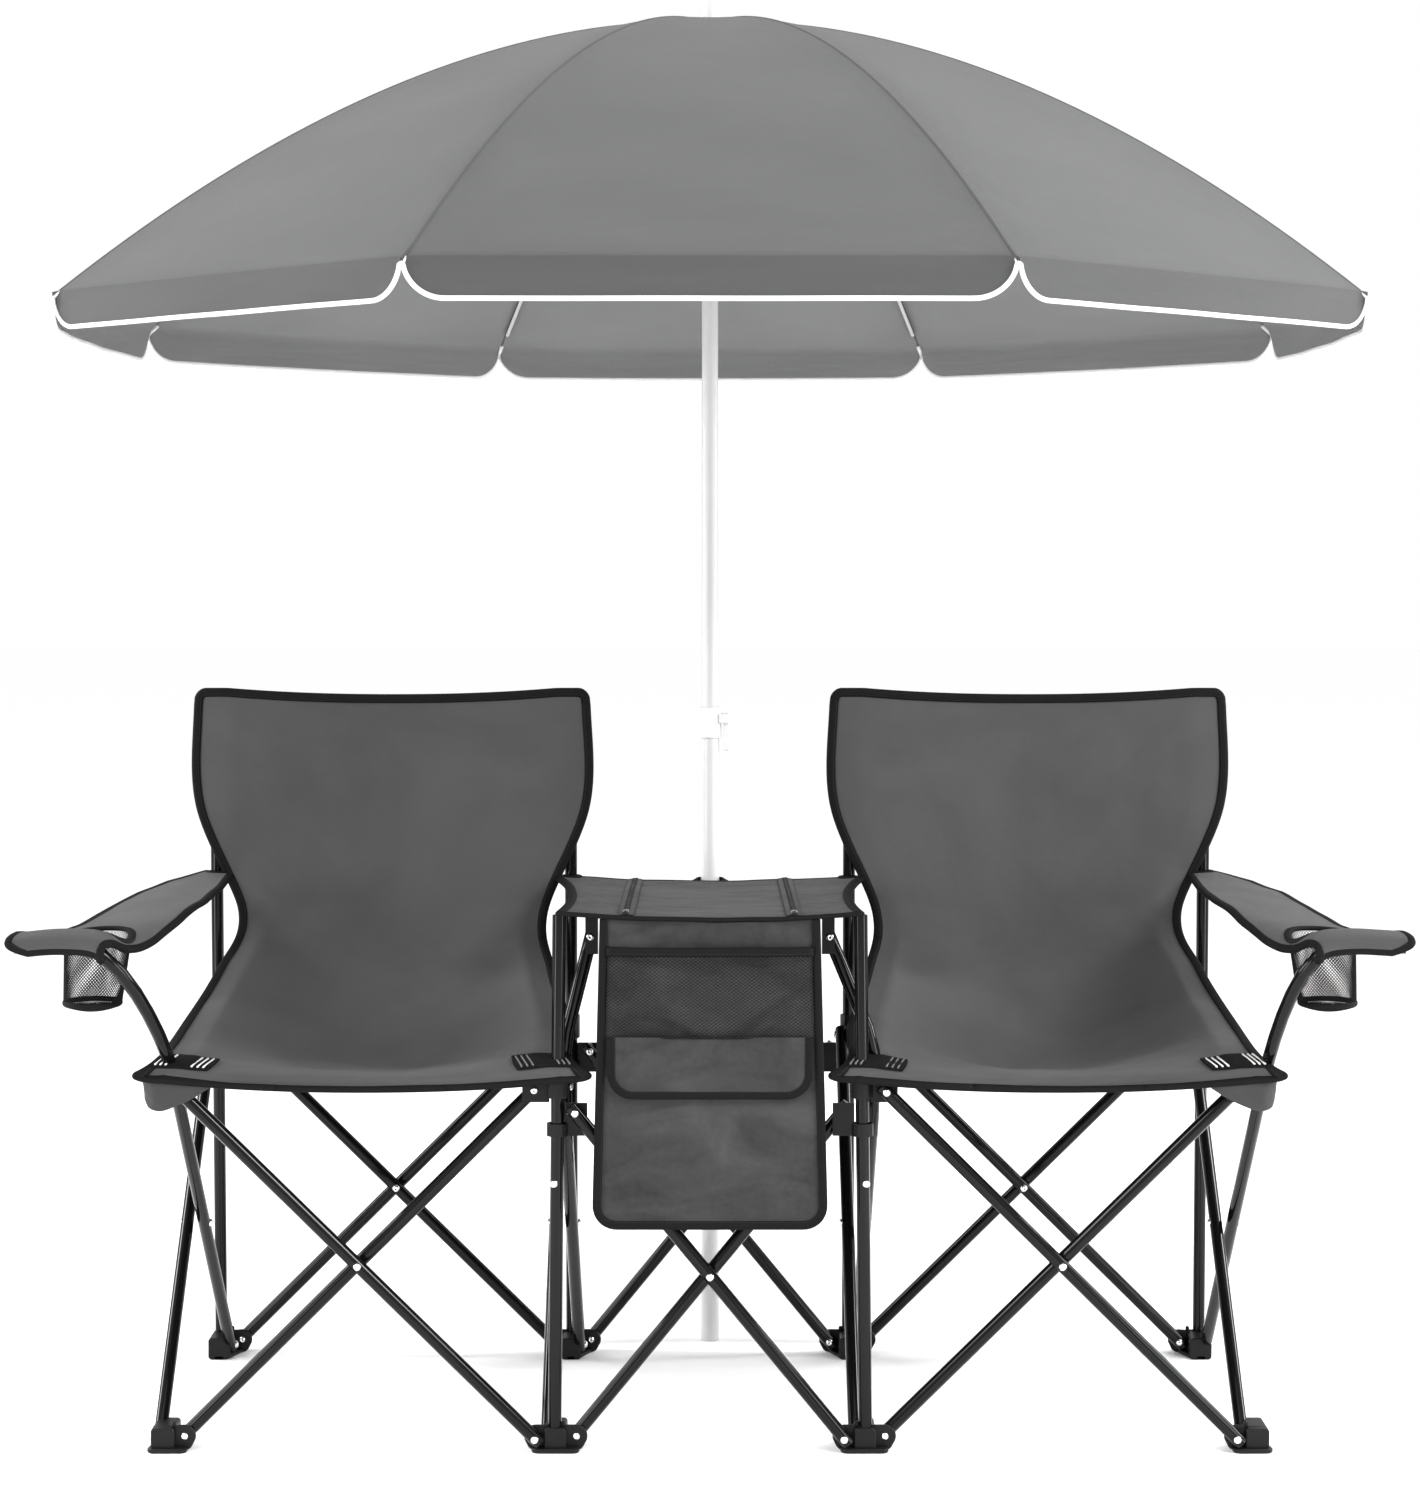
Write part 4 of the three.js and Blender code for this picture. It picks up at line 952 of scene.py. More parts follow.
def net(bm: Mesh, columns: int, rows: int, place: Place, closed: bool) -> None:
    """Adds a net of diamonds, as faces whose edges are the threads.

    Args:
        bm: the mesh to add to.
        columns: diamonds across.
        rows: half diamonds along.
        place: gives the point at shares across and along.
        closed: whether the net closes on itself across.
    """
    verts = bmesh.ops.create_grid(bm, x_segments=columns, y_segments=rows, size=0.5)["verts"]
    cell = {}
    for vert in verts:
        cell[vert] = (round((vert.co.x + 0.5) * columns), round((vert.co.y + 0.5) * rows))
    for face in faces_of(verts):
        corners = {cell[vert]: vert for vert in face.verts}
        i = min(key[0] for key in corners)
        j = min(key[1] for key in corners)
        pair = ((i + 1, j), (i, j + 1)) if j % 2 == 0 else ((i, j), (i + 1, j + 1))
        bmesh.utils.face_split(face, corners[pair[0]], corners[pair[1]])
    level = []
    for edge in dict.fromkeys(edge for vert in verts for edge in vert.link_edges):
        first, second = (cell[vert] for vert in edge.verts)
        if first[1] == second[1] and 0 < first[1] < rows:
            level.append(edge)
    bmesh.ops.dissolve_edges(bm, edges=level, use_verts=False)
    for vert in verts:
        i, j = cell[vert]
        shift = 0.5 if j % 2 else 0.0
        share = (i + shift) / columns if closed else min(max((i + shift - 0.25) / columns, 0.0), 1.0)
        vert.co = place(share, j / rows)
    if closed:
        bmesh.ops.remove_doubles(bm, verts=verts, dist=1e-5)


def threads(piece: Piece, thickness: float) -> None:
    """Turns a net's edges into threads."""
    wire = piece.modifiers.new("threads", "WIREFRAME")
    wire.thickness = thickness
    wire.use_even_offset = False


def ring(bm: Mesh, centre: Vector, radius: float, section: float, flat: float = 1.0,
         steps: int = 40) -> None:
    """Adds a ring that lies level.

    Args:
        bm: the mesh to add to.
        centre: its middle.
        radius: the radius of its round line.
        section: half of its section's width.
        flat: its section's height as a share of its width.
        steps: steps round it.
    """
    def place(u: float, v: float) -> Vector:
        """Returns the point at shares round the section and round the ring."""
        turn, roll = 2 * math.pi * v, 2 * math.pi * u
        reach = radius + section * math.cos(roll)
        rise = section * flat * math.sin(roll)
        return centre + Vector((reach * math.cos(turn), reach * math.sin(turn), rise))

    loft(bm, 10, steps, place, (2 * math.pi * section, 2 * math.pi * radius), False)


@dataclass
class Armrest:
    """A cloth sleeve from the upright to the arm post's bar, with a net cup holder sewn in."""

    side: Side
    inner_edge: tuple[Pair, ...] = (
        (-0.049, 0.586), (-0.20, 0.577), (-0.32, 0.579), (-0.42, 0.592), (-0.49, 0.606), (-0.53, 0.618),
        (-0.560, 0.631), (-0.580, 0.639), (-0.606, 0.644),
    )
    outer_edge: tuple[Pair, ...] = (
        (-0.049, 0.621), (-0.14, 0.650), (-0.25, 0.669), (-0.38, 0.682), (-0.47, 0.694), (-0.53, 0.716),
        (-0.575, 0.738), (-0.606, 0.745),
    )
    cup_x: float = 0.662
    cup_y: float = -0.5274
    cup_r: float = 0.0355
    cup_foot_r: float = 0.0308
    cup_lean: float = 0.0065
    cup_sag: float = 0.006
    cup_floor: float = 0.4960
    cup_wall: float = 0.72
    cup_thread: float = 0.0011
    cup_cut: Pair = (0.223, 0.115)
    cup_snap: float = 0.006
    cut: Pair = (0.13, 0.57)
    cut_area: float = 0.052
    binding: Pair = (0.0058, 0.0029)
    hem: Pair = (0.0050, 0.0026)
    eyelet: Triple = (0.0112, 0.0032, 0.6)
    thickness: float = 0.0042
    droop: float = 0.018
    droop_power: int = 12
    droop_span: Triple = (-0.33, -0.552, -0.660)
    point: float = 0.022
    lip: float = 0.82
    crown: Pair = (0.002, 0.003)
    wave: float = 0.0016
    wave_scale: Pair = (20.0, 14.0)
    normal_step: float = 0.004
    fold_axis: Triple = (0, 0.912, 0.409)
    fold_z: float = 0.569
    fold_keep: float = 0.024
    cells: Cells = (26, 110)
    side_steps: int = 70
    end_steps: int = 20
    eyelet_share: Pair = (0.5, 0.03)
    eyelet_rise: float = 0.002
    halvings: int = 20
    cup_close: float = 0.92
    cup_drop: float = 0.003
    cup_cells: Cells = (60, 56)
    cup_steps: int = 48
    cup_foot_rise: float = 0.003
    cup_foot_hem: Pair = (0.0016, 1.9)
    profile: tuple[Pair, ...] = (
        (-0.049, 0.592), (-0.20, 0.589), (-0.36, 0.584), (-0.465, 0.577), (-0.515, 0.5738),
        (-0.548, 0.5750), (-0.575, 0.5822), (-0.5975, 0.5788), (-0.6045, 0.5700), (-0.6025, 0.5605),
    )

    def at(self, across: float, along: float) -> Vector:
        """Returns the sleeve's point, with across from its inner edge, 0, to its outer edge, 1."""
        line = [Vector((0.0, *point)) for point in self.profile]
        point = catmull(line, along)
        inner = self.edge_at(self.inner_edge, point.y)
        outer = self.edge_at(self.outer_edge, point.y)
        outer -= self.point * max(0.0, (along - self.lip) / (1.0 - self.lip)) ** 2
        x = inner + (outer - inner) * across
        crown = self.crown[0] * math.sin(math.pi * across)
        crown -= self.crown[1] * math.sin(math.pi * along) * across
        start, lowest, end = self.droop_span
        other = start if point.y > lowest else end
        near = min(max((point.y - other) / (lowest - other), 0.0), 1.0)
        crown -= self.droop * (1.0 - across) ** self.droop_power * near * near * (3.0 - 2.0 * near)
        ripple = Vector((x * self.wave_scale[0], point.y * self.wave_scale[1], self.side.value))
        wave = self.wave * noise.noise(ripple)
        return Vector((self.side.value * x, point.y, point.z + crown + wave))

    def edge_at(self, edge: Sequence[Pair], y: float) -> float:
        """Returns how far out one of the sleeve's edges is at a depth."""
        for (y0, x0), (y1, x1) in zip(edge, edge[1:]):
            if y >= y1:
                break
        share = min(max((y - y0) / (y1 - y0), 0.0), 1.0)
        return x0 + (x1 - x0) * share

    def normal(self, across: float, along: float) -> Vector:
        """Returns the sleeve's upward normal."""
        return facing(self.at, across, along, self.normal_step, 0.0) * self.side.value

    def build(self) -> None:
        """Builds and dresses the sleeve, its binding and the cup holder."""
        word, sign = self.side.word, self.side.value
        fold = Squash(self.fold_axis, (sign * OUTER_UPRIGHT_X, REAR_Y, self.fold_z), self.fold_keep)
        rear_body = f"rear_{word}_outer"
        bm = bmesh.new()
        mapped(bm, *self.cells, self.at, self.cut)
        cup = Vector((sign * self.cup_x, self.cup_y))
        inside = [face for face in bm.faces if (face.calc_center_median().xy - cup).length < self.cup_r
                  and face.calc_center_median().z > self.cup_floor]
        bmesh.ops.delete(bm, geom=inside, context="FACES")
        for vert in bm.verts:
            off = vert.co.xy - cup
            if vert.is_boundary and off.length < self.cup_r + self.cup_snap:
                vert.co.xy = cup + off.normalized() * self.cup_r
        sleeve = new_object(f"{word}_armrest_sleeve", bm)
        thicken(sleeve, self.thickness)
        steps = self.side_steps
        edge = [(0.0, i / steps) for i in range(steps)] + [(share, 1.0) for share in shares(self.end_steps)]
        edge += [(1.0, 1.0 - i / steps) for i in range(1, steps + 1)]
        route = [Stop(self.at(*share), self.normal(*share)) for share in edge]
        if self.side is Side.LEFT:
            route.reverse()
        binding = swept(f"{word}_armrest_binding", [route], tape_section(*self.binding))
        bm = bmesh.new()
        height = self.at(*self.eyelet_share).z + self.eyelet_rise
        ring(bm, Vector((sign * OUTER_UPRIGHT_X, REAR_Y, height)), *self.eyelet)
        dress(new_object(f"{word}_armrest_eyelet", bm), Finishes.BINDING, rear_body)
        dress(binding, Finishes.BINDING, rear_body, fold)
        dress(sleeve, Finishes.SLING, rear_body, fold)
        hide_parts(f"{word}_armrest")
        self.cup(rear_body, fold)

    def rim(self, turn: float) -> Vector:
        """Returns the sleeve's point at the cup's edge, at an angle round the cup."""
        x = self.cup_x + self.cup_r * math.cos(turn)
        y = self.cup_y + self.cup_r * math.sin(turn)
        low, high = 0.0, self.lip
        for _ in range(self.halvings):
            along = (low + high) / 2
            low, high = (along, high) if self.at(0.5, along).y > y else (low, along)
        inner, outer = self.edge_at(self.inner_edge, y), self.edge_at(self.outer_edge, y)
        height = self.at(min(max((x - inner) / (outer - inner), 0.0), 1.0), along).z
        return Vector((self.side.value * x, y, height))

    def cup(self, body: str, fold: Squash) -> None:
        """Builds and dresses the cup holder's net, its rim and its foot.

        Args:
            body: the body that the sleeve rides on.
            fold: how the sleeve draws together.
        """
        word, sign = self.side.word, self.side.value
        middle = Vector((sign * self.cup_x, self.cup_y, 0.0))

        def wall(u: float, v: float) -> Vector:
            """Returns the net's point, down the wall and in over the floor."""
            down = min(v / self.cup_wall, 1.0)
            inward = max((v - self.cup_wall) / (1.0 - self.cup_wall), 0.0)
            radius = (self.cup_r + (self.cup_foot_r - self.cup_r) * down) * (1.0 - self.cup_close * inward)
            turn = 2 * math.pi * u
            top = self.rim(turn).z - self.cup_drop
            z = top + (self.cup_floor - top) * down - self.cup_sag * math.sin(math.pi / 2 * inward)
            reach = radius * math.cos(turn) + self.cup_lean * down
            return middle + Vector((sign * reach, radius * math.sin(turn), z))

        bm = bmesh.new()
        net(bm, *self.cup_cells, wall, True)
        mesh = new_object(f"{word}_cup_net", bm)
        threads(mesh, self.cup_thread)
        dress(mesh, Finishes.NET, body, fold)
        bm = bmesh.new()
        stops = [Stop(self.rim(2 * math.pi * share), UP) for share in shares(self.cup_steps)]
        if self.side is Side.RIGHT:
            stops.reverse()
        along_route(bm, stops, tape_section(*self.hem))
        foot = Vector((sign * self.cup_lean, 0, self.cup_floor + self.cup_foot_rise))
        ring(bm, middle + foot, self.cup_foot_r, *self.cup_foot_hem)
        hems = dress(new_object(f"{word}_cup_hems", bm), Finishes.BINDING, body, fold)


@dataclass
class Console:
    """The cloth table, its zips, the pocket panel with its flap, and the cooler bag."""

    front_y: float = -0.5300
    rear_y: float = -0.052
    front_half: float = 0.165
    rear_half: float = 0.193
    waist_half: float = 0.146
    front_z: float = 0.597
    rear_z: float = 0.590
    sag: float = 0.007
    cuts: tuple[Pair, ...] = ((0.100, 0.478), (0.188, 0.478), (0.100, 0.478))
    cut_areas: tuple[float, ...] = (0.0388, 0.0898, 0.0388)
    zip_x: float = 0.0915
    zip_half: float = 0.0085
    thickness: float = 0.0035
    panel_half: float = 0.1255
    taper: float = 0.075
    panel_y: float = -0.5284
    panel_low: float = 0.253
    panel_corner: float = 0.024
    pocket_top: float = 0.552
    pocket_low: float = 0.460
    bulge: float = 0.0115
    flap_half: float = 0.109
    flap_top: float = 0.4615
    flap_low: float = 0.396
    flap_corner: float = 0.026
    bag_half: float = 0.108
    bag_low: float = 0.272
    bag_front: float = -0.4660
    bag_rear: float = -0.1140
    table_tape: Pair = (0.0085, 0.0024)
    panel_tape: Pair = (0.0060, 0.0030)
    panel_wave: float = 0.0050
    panel_drop: float = 0.0045
    cloth: float = 0.0024
    hem_tape: Pair = (0.0085, 0.0018)
    hem_rise: float = 0.006
    net_in: float = 0.006
    net_thread: float = 0.0008
    flap_tape: Pair = (0.0062, 0.0022)
    flap_wave: float = 0.0016
    flap_gap: float = 0.0052
    tooth: Triple = (0.0042, 0.0019, 0.0016)
    tooth_step: float = 0.0012
    tooth_rise: float = 0.0024
    teeth: int = 150
    zip_end: float = 0.004
    slider_back: float = 0.020
    slider: tuple[tuple[tuple[float, ...], tuple[float, ...]], ...] = (
        ((0.0070, 0.009, 0.0034), (0, 0, 0.0036)), ((0.0032, 0.012, 0.0012), (0, -0.008, 0.0056)),
    )
    loop_reach: float = 0.0155
    loop_drop: float = 0.012
    loop_band: tuple[Pair, ...] = (
        (-0.0011, -0.011), (0.0011, -0.011), (0.0013, 0.0),
        (0.0011, 0.011), (-0.0011, 0.011), (-0.0013, 0.0),
    )
    eyelet: Triple = (0.0108, 0.0030, 0.6)
    bag_cut: Pair = (1.10, 0.42)
    bag_cut_area: float = 0.40
    bag_wall: float = 0.7
    bag_thickness: float = 0.0030
    ripple: float = 0.0012
    ripple_scale: Pair = (18.0, 9.0)
    ripple_seed: float = 4.0
    table_cells: Cells = (22, 60)
    table_steps: Cells = (16, 40)
    zip_rise: Pair = (0.0009, 0.0008)
    zip_tape: float = 0.0012
    zip_length: float = 0.47
    zip_cells: Cells = (6, 60)
    slider_edge: float = 0.0007
    loop_start: float = 0.004
    loop_foot: float = 0.024
    loop_neck: Pair = (0.018, -0.016)
    loop_steps: Cells = (12, 48)
    eyelet_rise: float = 0.0006
    drape_across: Pair = (9.0, 7.0)
    drape_down: Pair = (6.0, 9.0)
    drape_seed: float = 2.0
    drape_calm: float = 9.0
    drape_finer: Pair = (0.4, 2.3)
    draw_up: float = 3.0
    panel_cells: Cells = (60, 80)
    flap_cells: Cells = (50, 22)
    net_cells: Cells = (46, 50)
    net_gap: float = 0.0026
    net_fold: float = 0.0025
    net_fold_scale: Triple = (16.0, 20.0, 14.0)
    net_fold_seed: float = 1.0
    belly_least: float = 0.35
    belly_from: float = 0.18
    belly_power: float = 0.6
    hem_steps: int = 40
    bag_round: float = 0.30
    bag_belly: Pair = (0.05, 0.06)
    bag_close: float = 1.6
    bag_gap: float = 0.002
    bag_sag: float = 0.012
    bag_wrinkle: float = 0.003
    bag_wrinkle_scale: Triple = (14.0, 14.0, 10.0)
    bag_cells: Cells = (96, 60)
    bag_weave: Pair = (1.1, 0.5)
    draw_back: Squash = Squash((0, 1, 0), (0, REAR_Y, 0), 0.295)
    draw_in: Squash = Squash((1, 0, 0), (-INNER_UPRIGHT_X, 0, 0), 0.3256)

    def top(self, x: float, y: float) -> float:
        """Returns the height of the table's upper face, which sags between its sides."""
        slope = (y - FRONT_Y) / (REAR_Y - FRONT_Y)
        dip = self.sag * (1.0 - (x / self.half(y)) ** 2)
        place = Vector((x * self.ripple_scale[0], y * self.ripple_scale[1], self.ripple_seed))
        ripple = self.ripple * noise.noise(place)
        return self.front_z + (self.rear_z - self.front_z) * slope - dip + ripple

    def half(self, y: float) -> float:
        """Returns half the table's width at a depth."""
        t = (y - self.front_y) / (self.rear_y - self.front_y)
        return (1 - t) ** 2 * self.front_half + 2 * t * (1 - t) * self.waist_half + t * t * self.rear_half

    def table_panel(self, i: int, word: str, body: str) -> Piece:
        """Builds and dresses one of the table's panels and its binding.

        Args:
            i: which panel, from the left.
            word: its name.
            body: the body that it rides on.

        Returns:
            The panel.
        """
        def place(u: float, v: float) -> Vector:
            """Returns the panel's point at shares across and along."""
            y = self.front_y + (self.rear_y - self.front_y) * v
            edges = (-self.half(y), -self.zip_x, self.zip_x, self.half(y))
            x = edges[i] + (edges[i + 1] - edges[i]) * u
            return Vector((x, y, self.top(x, y)))

        name, cut = f"table_{word}_panel", self.cuts[i]
        panel = sheet_piece(name, self.table_cells, place, self.thickness, -1.0, cut)
        end_steps, side_steps = self.table_steps
        front = [(share, 0.0) for share in shares(end_steps)]
        rear = [(1.0 - share, 1.0) for share in shares(end_steps)]
        flank = shares(side_steps)[1:-1]
        routes = {
            "left": [rear + [(0.0, 1.0 - v) for v in flank] + front],
            "middle": [front, rear],
            "right": [front + [(1.0, v) for v in flank] + rear],
        }
        under = Vector((0.0, 0.0, -self.thickness / 2))
        stops = [[Stop(place(*share) + under, UP) for share in route] for route in routes[word]]
        binding = swept(f"table_{word}_binding", stops, tape_section(*self.table_tape))
        dress(binding, Finishes.BINDING, body, self.draw_back)
        dress(panel, Finishes.TABLE, body, self.draw_back)
        return panel

    def table(self) -> None:
        """Builds and dresses the table's three panels, their bindings, zips and eyelets."""
        bodies = {"left": "rear_left_inner", "middle": "umbrella_pole", "right": "rear_right_inner"}
        panels = [self.table_panel(i, word, body) for i, (word, body) in enumerate(bodies.items())]
        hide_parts("console_table")
        for side in Side:
            self.zip(side)
        self.pole_loop()

    def zip(self, side: Side) -> None:
        """Builds and dresses one zip along the table: tapes, teeth and a slider."""
        word = side.word
        x0 = side.value * self.zip_x

        def depth(share: float, end: float) -> float:
            """Returns the depth at a share along the zip, which ends short of the table's edges."""
            return self.front_y + end + (self.rear_y - self.front_y - 2 * end) * share

        def place(u: float, v: float) -> Vector:
            """Returns the tape's point at shares across and along."""
            y = depth(v, self.zip_end)
            rise = self.zip_rise[0] + self.zip_rise[1] * math.cos((2 * u - 1) * math.pi / 2)
            return Vector((x0 + (2 * u - 1) * self.zip_half, y, self.top(x0, y) + rise))

        cut = (2 * self.zip_half, self.zip_length)
        tape = sheet_piece(f"{word}_zip_tape", self.zip_cells, place, self.zip_tape, cut=cut)
        dress(tape, Finishes.ZIP, "umbrella_pole", self.draw_back)
        bm = bmesh.new()
        for i, share in enumerate(shares(self.teeth - 1)):
            y = depth(share, 2 * self.zip_end)
            step = self.tooth_step if i % 2 else -self.tooth_step
            block(bm, Vector((x0 + step, y, self.top(x0, y) + self.tooth_rise)), self.tooth)
        teeth = new_object(f"{word}_zip_teeth", bm)
        dress(teeth, Finishes.ZIP, "umbrella_pole", self.draw_back)
        bm = bmesh.new()
        y = self.front_y + self.slider_back
        for size, shift in self.slider:
            block(bm, Vector((x0, y, self.top(x0, y))) + Vector(shift), size)
        bmesh.ops.bevel(bm, geom=bm.edges[:], offset=self.slider_edge, segments=2, profile=0.5,
                        affect="EDGES", material=-1)
        slider = new_object(f"{word}_zip_slider", bm)
        dress(slider, Finishes.SLIDER, "umbrella_pole", self.draw_back)

    def pole_loop(self) -> None:
        """Builds and dresses the webbing loop that holds the umbrella pole, and the table's eyelets."""
        start = self.rear_y + self.loop_start
        round_steps, route_steps = self.loop_steps
        turns = [math.pi * share for share in shares(round_steps)]
        neck_x, neck_y = self.loop_neck
        line = [Vector((-self.loop_foot, start, 0.0)), Vector((-neck_x, neck_y, 0.0))]
        line += [self.loop_reach * Vector((-math.cos(turn), math.sin(turn), 0.0)) for turn in turns]
        line += [Vector((neck_x, neck_y, 0.0)), Vector((self.loop_foot, start, 0.0))]
        height = Vector((0.0, 0.0, self.top(0.0, self.rear_y) - self.loop_drop))
        route = [Stop(catmull(line, share) + height, UP) for share in shares(route_steps)]
        loop = swept("pole_loop", [route], self.loop_band)
        dress(loop, Finishes.BINDING, "umbrella_pole")
        for side in Side:
            bm = bmesh.new()
            x = side.value * INNER_UPRIGHT_X
            ring(bm, Vector((x, REAR_Y, self.top(x, REAR_Y) + self.eyelet_rise)), *self.eyelet)
            eyelet = new_object(f"{side.word}_table_eyelet", bm)
            dress(eyelet, Finishes.BINDING, f"rear_{side.word}_inner")

    def upright_sheet(self, half: float, high: float, low: float, corner: float, y: float,
                      wave: float) -> Place:
        """Returns the places of a sheet that hangs in the front plane with rounded lower corners.

        Args:
            half: half its width.
            high: its top.
            low: its bottom.
            corner: the radius of its lower corners.
            y: its face.
            wave: how far it ripples.

        Returns:
            A function of shares across and down.
        """
        side_x, down_x = self.drape_across
        side_z, down_z = self.drape_down
        finer, scale = self.drape_finer
        rate = self.drape_calm

        def place(u: float, v: float) -> Vector:
            """Returns the sheet's point at shares across and down."""
            x, z = (2 * u - 1) * half, high + (low - high) * v
            a, b = corner - (half - abs(x)), corner - (z - low)
            if a > 0 and b > 0 and math.hypot(a, b) > corner:
                share = corner / math.hypot(a, b)
                x = math.copysign(half - corner + a * share, x)
                z = low + corner - b * share
            drift = Vector((x * side_x + z * down_x, self.drape_seed, z * down_z - x * side_z))
            calm = min(1.0, rate * u, rate * (1.0 - u), rate * (1.0 - v))
            return Vector((x, y - wave * calm * (noise.noise(drift) + finer * noise.noise(drift * scale)), z))

        return place

    def rim_route(self, place: Place, steps: int = 48) -> list[Stop]:
        """Returns the route down one side of a hanging sheet, along its bottom and up the other."""
        route = [(0.0, i / steps) for i in range(steps)] + [(i / steps, 1.0) for i in range(steps)]
        route += [(1.0, 1.0 - share) for share in shares(steps)]
        return [Stop(place(*share), AHEAD) for share in route]

    def narrow(self, z: float) -> float:
        """Returns the panel's width at a height, as a share of its width at the bottom."""
        return 1.0 - self.taper * (z - self.panel_low) / (self.front_z - self.panel_low)

    def panel(self) -> None:
        """Builds and dresses the hanging panel, its net pocket and its flap."""
        body = "front_left_inner"
        high = self.top(0.0, self.panel_y) - self.panel_drop
        place = self.upright_sheet(self.panel_half, high, self.panel_low, self.panel_corner, self.panel_y,
                                   self.panel_wave)

        def hung(u: float, v: float) -> Vector:
            """Returns the panel's point, with its top edge drawn up to the table's underside."""
            point = place(u, v)
            point.x *= self.narrow(point.z)
            rise = self.top(point.x, self.panel_y) - self.top(0.0, self.panel_y)
            return point + Vector((0.0, 0.0, rise * max(0.0, 1.0 - self.draw_up * v)))

        bm = bmesh.new()
        mapped(bm, *self.panel_cells, hung, (2 * self.panel_half, high - self.panel_low))
        # Faces behind the net take the second material: the cloth there is painted with bright crease
        # highlights.
        for face in bm.faces:
            face.material_index = int(self.pocket_low < face.calc_center_median().z < self.pocket_top)
        sheet = new_object("pocket_panel", bm)
        thicken(sheet, self.cloth, 1.0)
        binding = swept("pocket_panel_binding", [self.rim_route(hung)], tape_section(*self.panel_tape))
        dress(binding, Finishes.BINDING, body, self.draw_in)
        dress(sheet, Finishes.CONSOLE, body, self.draw_in)
        # The second material is the pocket's painted highlights.
        sheet.data.materials.append(Finishes.get(Finishes.POCKET))
        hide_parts("console_pocket_panel")
        self.pocket(body)
        self.flap()

    def pocket(self, body: str) -> None:
        """Builds and dresses the net pocket and its hem."""
        half = self.panel_half - self.net_in

        def belly(u: float, v: float) -> Vector:
            """Returns the net's point at shares across and down."""
            z = self.pocket_top + (self.pocket_low - self.pocket_top) * v
            x = (2 * u - 1) * half * self.narrow(z)
            least, start = self.belly_least, self.belly_from
            swell = least + (1.0 - least) * math.sin(math.pi * min(1.0, start + (1.0 - start) * v))
            swell *= math.sin(math.pi * u) ** self.belly_power
            across, slant, down = self.net_fold_scale
            crease = Vector((x * across + z * slant, z * down, self.net_fold_seed))
            fold = self.net_fold * noise.noise(crease) * math.sin(math.pi * u)
            return Vector((x, self.panel_y - self.net_gap - self.bulge * swell - fold, z))

        bm = bmesh.new()
        net(bm, *self.net_cells, belly, False)
        mesh = new_object("pocket_net", bm)
        threads(mesh, self.net_thread)
        dress(mesh, Finishes.NET, body, self.draw_in)
        rise = Vector((0.0, 0.0, self.hem_rise))
        hem = [Stop(belly(share, 0.0) + rise, AHEAD) for share in reversed(shares(self.hem_steps))]
        hem_tape = swept("pocket_hem", [hem], tape_section(*self.hem_tape))
        dress(hem_tape, Finishes.BINDING, body, self.draw_in)

    def flap(self) -> None:
        """Builds and dresses the flap and its binding."""
        cut = (2 * self.flap_half, self.flap_top - self.flap_low)
        place = self.upright_sheet(self.flap_half, self.flap_top, self.flap_low, self.flap_corner,
                                   self.panel_y - self.flap_gap, self.flap_wave)
        sheet = sheet_piece("flap_cloth", self.flap_cells, place, self.cloth, cut=cut)
        binding = swept("flap_binding", [self.rim_route(place)], tape_section(*self.flap_tape))
        dress(binding, Finishes.BINDING, "pocket_flap", self.draw_in)
        dress(sheet, Finishes.CONSOLE, "pocket_flap", self.draw_in)
        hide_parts("pocket_flap")

    def bag(self) -> None:
        """Builds and dresses the cooler bag that hangs under the table."""
        middle_y = (self.bag_front + self.bag_rear) / 2
        half_y = (self.bag_rear - self.bag_front) / 2

        def place(u: float, v: float) -> Vector:
            """Returns the bag's point at shares round it and down it."""
            turn = 2 * math.pi * u
            square = max(abs(math.cos(turn)), abs(math.sin(turn)))
            sway = self.bag_round
            c = math.cos(turn) * (sway + (1 - sway) / square)
            s = math.sin(turn) * (sway + (1 - sway) / square)
            down = min(v / self.bag_wall, 1.0)
            inward = max((v - self.bag_wall) / (1.0 - self.bag_wall), 0.0)
            belly = 1.0 - self.bag_belly[0] * math.sin(math.pi * down) - self.bag_belly[1] * down
            shrink = belly * (1.0 - inward ** self.bag_close)
            x, y = c * self.bag_half * shrink, middle_y + s * half_y * shrink
            high = self.top(x, y) - self.thickness - self.bag_gap
            floor = self.bag_low + self.bag_sag
            z = high + (floor - high) * down - self.bag_sag * math.sin(math.pi / 2 * inward)
            drift = Vector(a * b for a, b in zip((x, y, z), self.bag_wrinkle_scale))
            wrinkle = self.bag_wrinkle * noise.noise(drift) * math.sin(math.pi * down)
            return Vector((x + c * wrinkle, y + s * wrinkle, z))

        bm = bmesh.new()
        loft(bm, *self.bag_cells, place, self.bag_weave, False)
        shell = new_object("cooler_bag_shell", bm)
        thicken(shell, self.bag_thickness)
        dress(shell, Finishes.CONSOLE, "umbrella_pole", self.draw_back)
        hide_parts("cooler_bag")

    def build(self) -> None:
        """Builds and dresses the whole console."""
        self.table()
        self.panel()
        self.bag()


